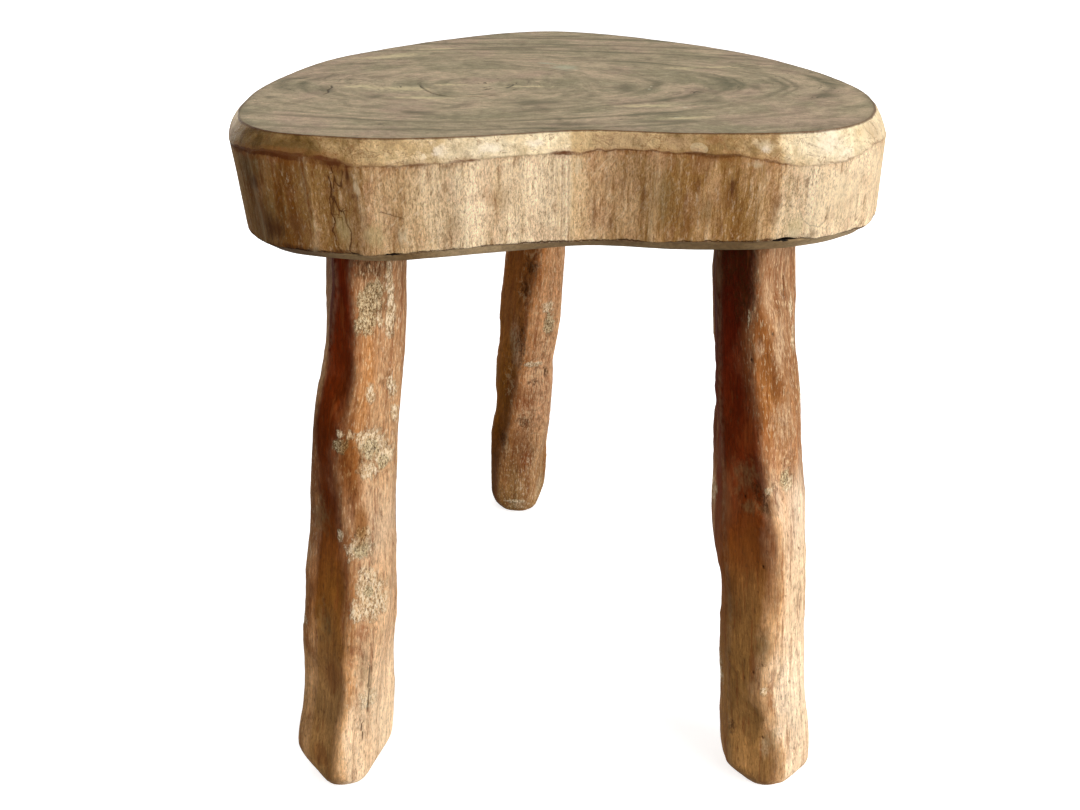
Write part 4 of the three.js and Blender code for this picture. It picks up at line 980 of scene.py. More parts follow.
# Marks on the flat top, in millimetres: kind, x, y, half length, half width, angle.
TOP_PATCHES = [
    ("spot", 3.0, 5.0, 9.5, 8.0, -50), ("spot", -6.0, 16.0, 6.0, 3.0, -20), ("light", -14.0, -40.0, 16.0, 2.6, 0), ("light", -74.0, -45.0, 22.0, 5.5, -6),
    ("light", -93.0, -40.0, 10.0, 5.0, 10), ("light", -50.0, -36.0, 11.0, 2.6, 0), ("light", -34.0, -37.0, 3.0, 2.0, 20),
    ("light", 76.0, 5.0, 20.0, 3.6, 3), ("light", 60.0, 2.0, 9.0, 4.0, -10), ("light", -88.0, 34.0, 26.0, 8.0, 24), ("light", -65.0, 55.0, 20.0, 5.0, 18),
    ("dusk", -106.0, -46.0, 6.5, 11.0, 8), ("dusk", -10.0, -74.0, 18.0, 8.0, 0), ("dusk", -82.0, -62.0, 6.0, 5.0, 30), ("dusk", -60.0, -92.0, 12.0, 5.0, 0),
    ("dusk", 90.0, -42.0, 5.0, 11.0, 0), ("dusk", 66.0, -70.0, 12.0, 5.0, 12), ("dusk", 30.0, -44.0, 7.0, 14.0, 0), ("dusk", -20.0, 60.0, 40.0, 5.0, 4),
    ("dusk", 118.0, -60.0, 10.0, 8.0, 10), ("dusk", 40.0, -108.0, 22.0, 4.0, 3), ("dusk", 0.0, -112.0, 30.0, 4.0, 0), ("dusk", 92.0, 36.0, 14.0, 4.0, -16),
    ("dusk", -128.0, -62.0, 5.0, 3.0, 0), ("dusk", -2.0, 96.0, 30.0, 4.0, 0), ("dusk", 46.0, -70.0, 4.0, 5.0, 60), ("light", 35.0, -80.0, 18.0, 4.0, 4),
    ("light", 50.0, -102.0, 16.0, 3.0, 8), ("light", -60.0, -64.0, 20.0, 3.0, -4), ("speck", 52.6, -82.5, 1.4, 1.2, 0), ("speck", 47.1, -100.6, 2.0, 0.8, 20),
    ("speck", 40.6, -46.0, 1.0, 1.4, 0), ("speck", 42.0, -40.0, 0.9, 1.3, 0), ("dot", 122.8, -7.3, 1.5, 1.3, 0), ("dot", 7.3, -88.1, 1.2, 0.9, 0),
    ("dot", -31.5, -31.0, 0.8, 0.8, 0), ("dot", -73.0, -112.0, 2.0, 1.0, 0), ("dot", 24.0, -104.0, 2.4, 0.9, 20), ("dot", -2.0, -104.0, 3.2, 0.8, -35),
]
TOP_KINDS = ("spot", "light", "dusk", "speck", "dot")
PITH = (-42.5, -35.4)


def dress_seat(ob, n_rows, u):
    """Values on the slab's points and material slots on its faces."""
    me = ob.data
    P = coords_mm(me)
    n = len(P)
    m = n_rows * N_AROUND
    row = np.arange(m) // N_AROUND
    col = np.arange(m) % N_AROUND
    v = np.concatenate([u, [3.05, 3.1, 3.2]])[row]
    S = SEAT_S[col]
    T = drop_of(v)
    fields = {k: np.full(n, -1.0) for k in set(SIDE_KINDS + TOP_KINDS)}
    na = Noise(71)
    ws = 0.8 * na(S / 6, T / 7, 0.0, 2)
    wt = 0.8 * na(S / 6, T / 7, 5.0, 2)
    for kind, s0, t0, hs, ht in SIDE_PATCHES:
        ds = (S - s0 + GIRTH / 2) % GIRTH - GIRTH / 2 + ws
        q = np.hypot(ds / hs, (T - t0 + wt) / ht)
        if kind == "halfmoon":
            q = np.where(T > t0 + ht * 0.72, 2.0, np.hypot((ds - ws) / hs, (T - t0) / ht))
        fields[kind][:m] = np.maximum(fields[kind][:m], np.clip(1 - q, -1, 1))
    x, y = P[:, 0], P[:, 1]
    for kind, x0, y0, a, b, deg in TOP_PATCHES:
        c, s_ = math.cos(math.radians(deg)), math.sin(math.radians(deg))
        dx, dy = x - x0, y - y0
        q = np.hypot((dx * c + dy * s_) / a, (-dx * s_ + dy * c) / b)
        fields[kind] = np.maximum(fields[kind], np.where(P[:, 2] > 335, np.clip(1 - q, -1, 1), -1))
    for k, f in fields.items():
        put(me, k, f)
    # Zone lines on the side.
    best = np.full(m, 9.0)
    sign = np.ones(m)
    win = np.zeros(m)
    mark = np.zeros(m)
    js, jt = 0.35 * na(S / 1.9, T / 1.9, 9.0), 0.35 * na(S / 1.9, T / 1.9, 13.0)
    for line, dark in zip(SIDE_LINES, LINE_DARK):
        d, t = line_field(S + js, T + jt, line)
        closer = np.abs(d) < np.abs(best)
        best = np.where(closer, d, best)
        ends = smooth(0.0, 0.03, t) * smooth(1.0, 0.97, t)
        mark = np.where(closer, dark, mark)
        win = np.where(closer, np.clip(1 - np.abs(d) / 3.2, 0, 1) * ends, win)
    full = np.full(n, 9.0)
    full[:m] = best
    put(me, "zone", full)
    full = np.zeros(n)
    full[:m] = win
    put(me, "zone_near", full)
    full = np.zeros(n)
    full[:m] = mark
    put(me, "zone_mark", full)
    full = np.full(n, 60.0)
    full[:m] = T
    put(me, "drop", full)
    for name, k in (("line_wide", 1), ("line_dark", 2)):
        full = np.zeros(n)
        full[:m] = np.interp(S, ARRIS[:, 0], ARRIS[:, k], period=GIRTH)
        put(me, name, full)
    flat = np.zeros((n, 3))
    flat[:m, 0], flat[:m, 1] = S / 1000.0, T / 1000.0
    put_vector(me, "unrolled", flat)
    full = np.full(n, -50.0)
    full[:m] = S
    put(me, "girth", full)
    full = np.full(n, 0.5)
    full[:m] = np.interp(S, WALL_TONE[:, 0], WALL_TONE[:, 1])
    put(me, "tone", full)
    # Ridge of the wall's flats, for the worn highlights along them.
    k, t, width = between(RIDGE_S, np.mod(S + 2.2 * n_cut(S / 60, P[:m, 2] / 30, 3.1), GIRTH))
    near = np.minimum(t, 1 - t) * width
    full = np.zeros(n)
    full[:m] = np.exp(-(near / 1.2) ** 2)
    put(me, "ridge", full)
    # Growth rings of the top: round near the pith, drawn out along X farther away.
    dx, dy = x - PITH[0], y - PITH[1]
    far = np.hypot(dx, dy)
    pull = 1 + 1.15 * smooth(18, 85, far)
    warp = 3.2 * na(x / 34, y / 24, 1.0, 2) + 0.8 * na(x / 9, y / 7, 3.0)
    rho = np.hypot(dx, dy * pull) + warp * smooth(4, 30, far)
    ang = np.arctan2(dy * pull, dx)
    reach = 10 + 0.52 * rho
    put_vector(me, "growth", np.stack([rho, reach * np.cos(ang), reach * np.sin(ang)], -1) / 1000.0)
    band = np.zeros(n)
    for r0, wide, a0, half in ((87, 3.0, 0, 0.55), (121, 3.6, 0.02, 0.50), (127, 1.6, 0.0, 0.45), (146, 2.6, -0.05, 0.6), (152, 1.5, 0.0, 0.5),
                               (168, 3.0, 0.0, 0.5), (88, 3.5, 3.05, 0.5), (78, 2.5, 3.1, 0.6), (112, 3.0, -0.6, 0.5), (140, 3.0, 0.9, 0.6),
                               (190, 4.0, 1.4, 1.0), (230, 4.0, 1.5, 1.0), (270, 5.0, 1.5, 0.9), (150, 3.0, -1.5, 1.0), (185, 3.5, -1.5, 0.9)):
        d = (ang - a0 + math.pi) % (2 * math.pi) - math.pi
        band = np.maximum(band, np.exp(-((rho - r0) / wide) ** 2) * np.exp(-(d / half) ** 2))
    put(me, "band", band)
    rim = np.full(n, 30.0)
    deg = np.degrees(np.arctan2(y - CENTRE[1], x - CENTRE[0]))
    top = P[:, 2] > 338.5
    rim[top] = (around(TOP_R, deg) - np.hypot(x - CENTRE[0], y - CENTRE[1]))[top]
    put(me, "rim", rim)
    split = np.zeros(n)
    for line in CRACKS:
        d, t = line_field(x, y, line)
        split = np.maximum(split, (1 - smooth(0.1, 0.75, np.abs(d))) * np.where(top, 1, 0) * smooth(-0.01, 0.12, t) * smooth(1.01, 0.88, t))
    put(me, "split", split)
    # Slots: 0 top, 1 chamfer, 2 wall, 3 lower chamfer and underside.
    count = len(me.polygons)
    centre = np.empty(count * 3, np.float32)
    me.polygons.foreach_get("center", centre)
    start = np.empty(count, np.int32)
    me.polygons.foreach_get("loop_start", start)
    vi = np.empty(len(me.loops), np.int32)
    me.loops.foreach_get("vertex_index", vi)
    total = np.empty(count, np.int32)
    me.polygons.foreach_get("loop_total", total)
    low = vi[start].copy()
    high = vi[start].copy()
    for k in range(1, 4):
        ok = total > k
        w = vi[np.minimum(start + k, len(vi) - 1)]
        low = np.where(ok, np.minimum(low, w), low)
        high = np.where(ok, np.maximum(high, w), high)
    side = high < m
    vv = v[np.minimum(low, m - 1)]
    slot = np.where(vv < 0.999, 1, np.where(vv < 1.999, 2, 3))
    zc = centre.reshape(-1, 3)[:, 2] * 1000
    slot = np.where(side, slot, np.where(zc > 335, 0, 3)).astype(np.int32)
    me.polygons.foreach_set("material_index", slot)


# ------------------------------------------------------------------ materials
def rgb(code):
    c = [int(code[i:i + 2], 16) / 255.0 for i in (0, 2, 4)]
    return tuple(v / 12.92 if v <= 0.04045 else ((v + 0.055) / 1.055) ** 2.4 for v in c) + (1.0,)


class Nodes:
    """Short spelling for a material's node graph."""

    def __init__(self, name, specular=0.35):
        self.mat = bpy.data.materials.new(name)
        self.mat.use_nodes = True
        self.tree = self.mat.node_tree
        self.tree.nodes.clear()
        self.out = self.new("ShaderNodeOutputMaterial")
        self.shader = self.new("ShaderNodeBsdfPrincipled")
        self.shader.inputs["Specular IOR Level"].default_value = specular
        self.tree.links.new(self.shader.outputs[0], self.out.inputs["Surface"])
        self.kept = {}

    def new(self, kind):
        return self.tree.nodes.new(kind)

    def set(self, socket, value):
        if isinstance(value, bpy.types.NodeSocket):
            self.tree.links.new(value, socket)
        else:
            socket.default_value = value

    def attr(self, name, vector=False):
        key = (name, vector)
        if key not in self.kept:
            n = self.new("ShaderNodeAttribute")
            n.attribute_name = name
            self.kept[key] = n.outputs["Vector" if vector else "Fac"]
        return self.kept[key]

    def place(self):
        if "place" not in self.kept:
            self.kept["place"] = self.new("ShaderNodeTexCoord").outputs["Object"]
        return self.kept["place"]

    def math(self, op, a, b=0.0, c=0.0, clamp=False):
        n = self.new("ShaderNodeMath")
        n.operation = op
        n.use_clamp = clamp
        for socket, value in zip(n.inputs, (a, b, c)):
            self.set(socket, value)
        return n.outputs[0]

    def add(self, a, b):
        return self.math("ADD", a, b)

    def mul(self, a, b):
        return self.math("MULTIPLY", a, b)

    def smooth(self, v, lo, hi, a=0.0, b=1.0):
        n = self.new("ShaderNodeMapRange")
        n.interpolation_type = "SMOOTHSTEP"
        for name, value in (("Value", v), ("From Min", lo), ("From Max", hi), ("To Min", a), ("To Max", b)):
            self.set(n.inputs[name], value)
        return n.outputs["Result"]

    def line(self, v, lo, hi, a=0.0, b=1.0):
        n = self.new("ShaderNodeMapRange")
        for name, value in (("Value", v), ("From Min", lo), ("From Max", hi), ("To Min", a), ("To Max", b)):
            self.set(n.inputs[name], value)
        return n.outputs["Result"]

    def mix(self, f, a, b, mode="MIX"):
        n = self.new("ShaderNodeMix")
        n.data_type = "RGBA"
        n.blend_type = mode
        self.set(n.inputs[0], f)
        self.set(n.inputs[6], rgb(a) if isinstance(a, str) else a)
        self.set(n.inputs[7], rgb(b) if isinstance(b, str) else b)
        return n.outputs[2]

    def ramp(self, v, stops):
        n = self.new("ShaderNodeValToRGB")
        r = n.color_ramp
        while len(r.elements) < len(stops):
            r.elements.new(0.5)
        for e, (at, code) in zip(r.elements, stops):
            e.position = at
            e.color = rgb(code)
        self.set(n.inputs[0], v)
        return n.outputs[0]

    def grain(self, vec, x, y, z):
        n = self.new("ShaderNodeVectorMath")
        n.operation = "MULTIPLY"
        self.set(n.inputs[0], vec)
        n.inputs[1].default_value = (x, y, z)
        return n.outputs[0]

    def noise(self, vec, scale, detail=2.0, rough=0.5, twist=0.0):
        n = self.new("ShaderNodeTexNoise")
        self.set(n.inputs["Vector"], vec)
        n.inputs["Scale"].default_value = scale
        n.inputs["Detail"].default_value = detail
        n.inputs["Roughness"].default_value = rough
        n.inputs["Distortion"].default_value = twist
        return n.outputs["Fac"]

    def shade(self, colour, amount, lo, hi):
        """Multiplies a colour by a grey between lo and hi, from a value 0 to 1."""
        g = self.line(amount, 0.3, 0.7, lo, hi)
        n = self.new("ShaderNodeVectorMath")
        n.operation = "SCALE"
        self.set(n.inputs[0], colour if isinstance(colour, bpy.types.NodeSocket) else colour[:3])
        self.set(n.inputs["Scale"], g)
        return n.outputs[0]

    def bump(self, height, distance, normal=None, strength=1.0):
        n = self.new("ShaderNodeBump")
        n.inputs["Distance"].default_value = distance
        n.inputs["Strength"].default_value = strength
        self.set(n.inputs["Height"], height)
        if normal is not None:
            self.set(n.inputs["Normal"], normal)
        return n.outputs[0]

    def finish(self, colour, rough, normal):
        self.set(self.shader.inputs["Base Color"], colour)
        self.set(self.shader.inputs["Roughness"], rough)
        self.set(self.shader.inputs["Normal"], normal)
        return self.mat


def leg_material(name, look):
    g = Nodes(name, 0.025)
    loc = g.attr("local", True)
    fibre = g.noise(g.grain(loc, 1, 1, 0.09), 1500, 3, 0.65)
    grain = g.noise(g.grain(loc, 1, 1, 0.05), 420, 4, 0.65, 0.3)
    speck = g.noise(g.grain(loc, 1, 1, 0.42), 1000, 3, 0.65)
    crumb = g.noise(g.grain(loc, 1, 1, 0.5), 420, 4, 0.7)
    blot = g.noise(g.grain(loc, 1, 1, 0.45), 90, 4, 0.6)
    wide = g.noise(g.grain(loc, 1, 1, 0.3), 38, 3, 0.55)
    sep = g.new("ShaderNodeSeparateXYZ")
    g.set(sep.inputs[0], loc)
    up = g.add(g.line(sep.outputs[2], 0.0, 0.29), g.line(wide, 0.3, 0.7, -0.08, 0.08))
    # Painted light and shade: the shaded-side ramp and the lit-side ramp, mixed by the painted lit mask.
    dark = g.ramp(up, look["dark"])
    bright = g.ramp(up, look["lit"])
    lit_n = g.smooth(g.add(g.attr("lit"), g.line(blot, 0.3, 0.7, -0.18, 0.18)), 0.1, 0.9)
    col = g.mix(lit_n, dark, bright)
    # Painted terminator: a warm tint where the painted shade turns into the painted light.
    terminator_tint = g.mul(g.mul(lit_n, g.line(lit_n, 0.0, 1.0, 1.0, 0.0)), 4.0)
    col = g.mix(g.mul(terminator_tint, 0.65), col, "f8d8aa", "MULTIPLY")
    # The grain shows stronger on the painted lit side and weaker in the painted shade.
    lively = g.line(lit_n, 0.0, 1.0, 0.95, 1.35)

    def livened(v):
        return g.add(g.mul(g.add(v, -0.5), lively), 0.5)
    col = g.shade(col, livened(fibre), 0.78, 1.22)
    col = g.shade(col, livened(grain), 0.76, 1.22)
    col = g.shade(col, livened(speck), 0.84, 1.16)
    col = g.shade(col, blot, 0.80, 1.18)
    mott = g.noise(g.grain(loc, 1, 1, 0.6), 300, 5, 0.72, 0.6)
    col = g.shade(col, mott, 1.0 - look["mottle"], 1.0 + 0.9 * look["mottle"])
    # Painted highlight: the warm band just past the lead ridge, in its orange colour.
    ridge_highlight = g.mul(g.attr("ridge_highlight"), g.line(grain, 0.35, 0.65, 0.55, 1.0))
    col = g.mix(g.mul(ridge_highlight, 0.75), col, look["ridge_highlight_colour"])
    # Reddish and straw streaks in the grain.
    col = g.mix(g.smooth(grain, 0.47, 0.36, 0.0, 0.40), col, look["streak"])
    col = g.mix(g.smooth(wide, 0.54, 0.70, 0.0, 0.30), col, look["warm"])

    def patch(kind, soft=0.22, wob=0.30, source=None):
        f = g.add(g.attr(kind), g.line(source or crumb, 0.3, 0.7, -wob, wob))
        return g.smooth(f, 0.0, soft)

    flecks = g.smooth(speck, 0.53, 0.64)
    pits = g.smooth(crumb, 0.42, 0.34)
    col = g.mix(g.mul(patch("brown", 0.5, 0.30, blot), 0.50), col, g.shade(rgb(look["brown"]), grain, 0.8, 1.15))
    col = g.mix(g.mul(patch("olive", 0.9, 0.50), g.line(speck, 0.35, 0.65, 0.12, 0.55)), col, look["olive"])
    col = g.mix(g.mul(patch("red", 0.7, 0.45), g.line(grain, 0.35, 0.65, 0.55, 0.28)), col, look["red"])
    # Cream patches: pale wood. The two near the front right leg's top also hold a painted sheen.
    cream = g.mul(patch("cream", 1.0, 0.45, blot), g.line(g.add(g.mul(speck, 0.6), g.mul(grain, 0.4)), 0.40, 0.60, 0.06, 0.48))
    col = g.mix(cream, col, look["cream"])
    rough_m = patch("rough", 0.5, 0.45)
    col = g.mix(g.mul(rough_m, g.smooth(mott, 0.50, 0.62, 0.0, 0.42)), col, look["pale"])
    col = g.mix(g.mul(rough_m, g.smooth(mott, 0.48, 0.38, 0.0, 0.58)), col, look["pit"])
    # Dark patches: dark marks in the wood, and on the front right leg just under the seat a painted shadow of the seat.
    dark_m = patch("dark", 0.6, 0.5)
    col = g.mix(g.mul(dark_m, g.smooth(speck, 0.62, 0.40, 0.10, 0.70)), col, look["dirt_and_seat_shadow"])
    # Pale patches: pale broken wood. Their white flecks are partly painted glints off the broken surface, with dark
    # gaps between them.
    pale_m = patch("pale", 0.45, 0.42)
    brush = g.noise(g.grain(loc, 1, 1, 0.45), 1000, 4, 0.7, 0.5)
    grit = g.noise(g.grain(loc, 1, 1, 0.62), 1250, 4, 0.7, 0.9)
    col = g.mix(g.mul(pale_m, 0.52), col, g.shade(rgb(look["pale"]), speck, 0.75, 1.25))
    col = g.mix(g.mul(pale_m, g.smooth(brush, 0.48, 0.58, 0.0, 0.92)), col, look["white"])
    col = g.mix(g.mul(pale_m, g.smooth(brush, 0.47, 0.39, 0.0, 0.64)), col, look["gap"])
    grey_m = patch("grey", 0.40, 0.30)
    col = g.mix(g.mul(grey_m, 0.55), col, look["grey"])
    col = g.mix(g.mul(grey_m, g.smooth(grit, 0.50, 0.60, 0.0, 0.85)), col, "eedcb4")
    col = g.mix(g.mul(grey_m, g.smooth(grit, 0.49, 0.40, 0.0, 0.85)), col, "3c2a18")
    # Painted glints: light flecks and dashes only on the painted lit side, with dark pores there and also scattered
    # everywhere; paler on the worn ridges.
    stray = g.noise(g.grain(loc, 1, 1, 0.35), 780, 2, 0.5)
    glint_flecks = g.mul(g.smooth(stray, 0.60, 0.69, 0.0, 0.48), g.mul(g.smooth(wide, 0.46, 0.60), lit_n))
    col = g.mix(glint_flecks, col, look["white"])
    dash = g.noise(g.grain(loc, 1, 1, 0.22), 1150, 4, 0.65, 0.3)
    col = g.mix(g.mul(g.smooth(dash, 0.54, 0.66, 0.0, 0.60), lit_n), col, look["dash"])
    col = g.mix(g.mul(g.smooth(dash, 0.46, 0.35, 0.0, 0.45), lit_n), col, look["pit"])
    col = g.mix(g.smooth(stray, 0.37, 0.29, 0.0, 0.45), col, look["pit"])
    col = g.mix(g.mul(g.attr("ridge"), g.line(crumb, 0.35, 0.65, 0.0, 0.22)), col, look["worn"])
    # Painted shade: the half-shaded strip on the front left leg, multiplied darker.
    col = g.mix(g.mul(patch("half_shade", 0.75, 0.22, blot), 0.85), col, "b19161", "MULTIPLY")
    # Painted shade in the worm holes and splits, near black where they cut in.
    pit = g.attr("pit")
    col = g.mix(g.smooth(pit, 0.25, 0.9, 0.0, 0.72), col, "24140a")
    rough = g.add(g.line(blot, 0.3, 0.7, look["rough"] - 0.06, look["rough"] + 0.06), g.mul(g.math("MAXIMUM", pale_m, grey_m), 0.22))
    rough = g.math("ADD", rough, g.mul(pit, 0.2), clamp=True)
    knots = g.math("MAXIMUM", g.math("MAXIMUM", pale_m, grey_m), dark_m)
    n1 = g.bump(g.add(g.mul(fibre, 0.45), g.mul(grain, 0.55)), 0.0006)
    n2 = g.bump(g.mul(speck, g.add(g.mul(knots, 0.8), 0.2)), 0.0009, n1)
    return g.finish(col, rough, n2)


def top_material():
    g = Nodes("seat_top_grain", 0.2)
    loc = g.place()
    ring = g.attr("growth", True)
    fine = g.noise(g.grain(ring, 1, 0.16, 0.16), 900, 3, 0.65)
    rings = g.noise(g.grain(ring, 1, 0.52, 0.52), 160, 5, 0.66, 1.3)
    bands = g.noise(g.grain(ring, 1, 0.62, 0.62), 44, 5, 0.60, 1.4)
    blot = g.noise(loc, 24, 5, 0.62)
    patchy = g.noise(g.grain(loc, 0.6, 1, 1), 62, 5, 0.66, 1.0)
    crumb = g.noise(g.grain(loc, 0.6, 1, 1), 520, 4, 0.7)
    speck = g.noise(loc, 1300, 3, 0.6)
    col = g.mix(g.smooth(bands, 0.36, 0.64), "9c8f71", "c2ac8d")
    col = g.mix(g.smooth(rings, 0.54, 0.68, 0.0, 0.34), col, "cbb998")
    col = g.mix(g.smooth(rings, 0.45, 0.32, 0.0, 0.42), col, "756c52")
    col = g.mix(g.smooth(blot, 0.49, 0.64, 0.0, 0.60), col, "b89c86")
    col = g.mix(g.smooth(blot, 0.49, 0.36, 0.0, 0.50), col, "8a8262")
    col = g.mix(g.smooth(patchy, 0.53, 0.66, 0.0, 0.40), col, "c6b493")
    col = g.mix(g.smooth(patchy, 0.46, 0.34, 0.0, 0.50), col, "776e54")
    smudge = g.noise(g.grain(loc, 0.8, 1, 1), 200, 4, 0.65, 0.4)
    col = g.shade(col, smudge, 0.84, 1.16)
    col = g.shade(col, fine, 0.93, 1.07)
    col = g.shade(col, crumb, 0.80, 1.20)
    col = g.shade(col, speck, 0.84, 1.16)
    wob = g.add(g.line(rings, 0.3, 0.7, -0.30, 0.30), g.line(crumb, 0.3, 0.7, -0.35, 0.35))
    col = g.mix(g.smooth(g.add(g.attr("light"), wob), 0.0, 0.9, 0.0, 0.75), col, "e0cfa2")
    col = g.mix(g.smooth(g.add(g.attr("dusk"), wob), 0.0, 0.9, 0.0, 0.62), col, "625b44")
    col = g.mix(g.mul(g.attr("band"), g.line(smudge, 0.35, 0.65, 0.35, 0.90)), col, "5d5a40")
    col = g.mix(g.smooth(g.add(g.attr("spot"), wob), 0.0, 0.7, 0.0, 0.5), col, "bcc3a6")
    col = g.mix(g.smooth(g.attr("speck"), 0.0, 0.4, 0.0, 0.7), col, "d9d2b8")
    col = g.mix(g.smooth(g.attr("dot"), 0.0, 0.5, 0.0, 0.75), col, "4a4230")
    # Short dark checks that follow the rings, and pale scratches.
    tick = g.noise(g.grain(ring, 1, 0.22, 0.22), 560, 2, 0.5, 0.3)
    where = g.smooth(g.noise(loc, 40, 2, 0.5), 0.50, 0.62)
    col = g.mix(g.mul(g.smooth(tick, 0.36, 0.29, 0.0, 0.75), where), col, "4f4733")
    scratch = g.noise(g.grain(loc, 0.12, 1, 1), 640, 2, 0.5)
    col = g.mix(g.smooth(scratch, 0.64, 0.72, 0.0, 0.16), col, "c5b697")
    # Painted shade in the splits of the top.
    col = g.mix(g.mul(g.attr("split"), 0.85), col, "3a2c1e")
    edge = g.smooth(g.add(g.attr("rim"), g.line(blot, 0.3, 0.7, -0.4, 0.4)), 1.3, 0.2)
    col = g.mix(g.mul(edge, 0.72), col, "553218")
    col = g.mix(g.smooth(g.attr("rim"), 6.0, 0.8, 0.0, 0.25), col, "7c7258")
    n1 = g.bump(g.add(g.mul(rings, 0.4), g.add(g.mul(fine, 0.3), g.mul(crumb, 0.3))), 0.0009)
    n2 = g.bump(speck, 0.0004, n1)
    rough = g.line(blot, 0.3, 0.7, 0.50, 0.62)
    return g.finish(col, rough, n2)


def arris_and_foot(g, col, crumb, blot):
    """The stained line along the arris, the thin ones at the top edge and the foot,
    the zone lines, and the notches in the foot, painted near black as painted shade."""
    t = g.add(g.attr("drop"), g.add(g.line(crumb, 0.3, 0.7, -0.5, 0.5), g.line(blot, 0.3, 0.7, -0.7, 0.7)))
    out = g.math("ABSOLUTE", t)
    w = g.attr("line_wide")
    dark = g.mul(g.attr("line_dark"), g.smooth(blot, 0.36, 0.56, 0.45, 1.0))
    halo = g.smooth(g.math("SUBTRACT", out, g.mul(w, 1.6)), 1.7, -0.4)
    col = g.mix(g.mul(halo, g.mul(dark, 0.40)), col, "9a5a28")
    core = g.smooth(g.math("SUBTRACT", out, g.mul(w, 0.75)), 0.40, -0.25)
    col = g.mix(g.mul(core, g.mul(dark, 0.85)), col, "5e2f12")
    high = g.add(g.attr("drop"), g.line(crumb, 0.3, 0.7, -0.12, 0.12))
    col = g.mix(g.smooth(high, -9.9, -10.6, 0.0, 0.80), col, "532e14")
    foot = g.math("ABSOLUTE", g.add(t, -43.8))
    col = g.mix(g.mul(g.smooth(foot, 0.9, 0.1, 0.0, 0.85), g.smooth(blot, 0.40, 0.56, 0.25, 1.0)), col, "4a2c16")
    s = g.attr("girth")
    # Painted shade: the notches in the wall's foot are coloured near black where they cut in.
    for at, half, thick in ((566.0, 4.6, 0.95), (728.5, 7.6, 1.7), (92.0, 4.0, 0.8), (415.0, 5.0, 0.9)):
        along_s = g.math("ABSOLUTE", g.add(s, -at))
        depth = g.line(along_s, 0.0, half, thick, 0.0)
        col = g.mix(g.smooth(g.math("SUBTRACT", g.math("ABSOLUTE", g.add(t, -43.6)), depth), 0.25, -0.2), col, "120b06")
    zone = g.math("ABSOLUTE", g.add(g.attr("zone"), g.line(crumb, 0.3, 0.7, -0.30, 0.30)))
    near = g.mul(g.smooth(g.attr("zone_near"), 0.05, 0.5), g.smooth(blot, 0.34, 0.52, 0.45, 1.0))
    near = g.mul(near, g.attr("zone_mark"))
    col = g.mix(g.mul(g.smooth(zone, 0.42, 0.08), g.mul(near, 0.90)), col, "40230e")
    return g.mix(g.mul(g.smooth(zone, 1.5, 0.2), g.mul(near, 0.22)), col, "7a4a24")


def side_patches(g, col, side, mark, upright=None):
    def patch(kind, soft, most, source):
        return g.smooth(g.add(g.attr(kind), source), 0.0, soft, 0.0, most)
    soft = g.mul(side, 1.3)
    col = g.mix(patch("olive", 0.9, 0.50, side), col, mark["olive"])
    col = g.mix(patch("tan", 0.9, 0.45, side), col, mark["tan"])
    col = g.mix(patch("cream", 0.9, 0.45, side), col, mark["cream"])
    col = g.mix(patch("yellow", 0.8, 0.50, side), col, mark["yellow"])
    col = g.mix(patch("white", 0.9, 0.45, soft), col, mark["white"])
    col = g.mix(patch("pale", 0.8, 0.50, soft), col, mark["pale"])
    col = g.mix(patch("drip", 1.0, 0.62, upright or side), col, mark["drip"])
    col = g.mix(patch("stain", 0.9, 0.85, upright or side), col, mark["stain"])
    return g.mix(g.smooth(g.attr("halfmoon"), 0.0, 0.10, 0.0, 0.35), col, mark["pale"])


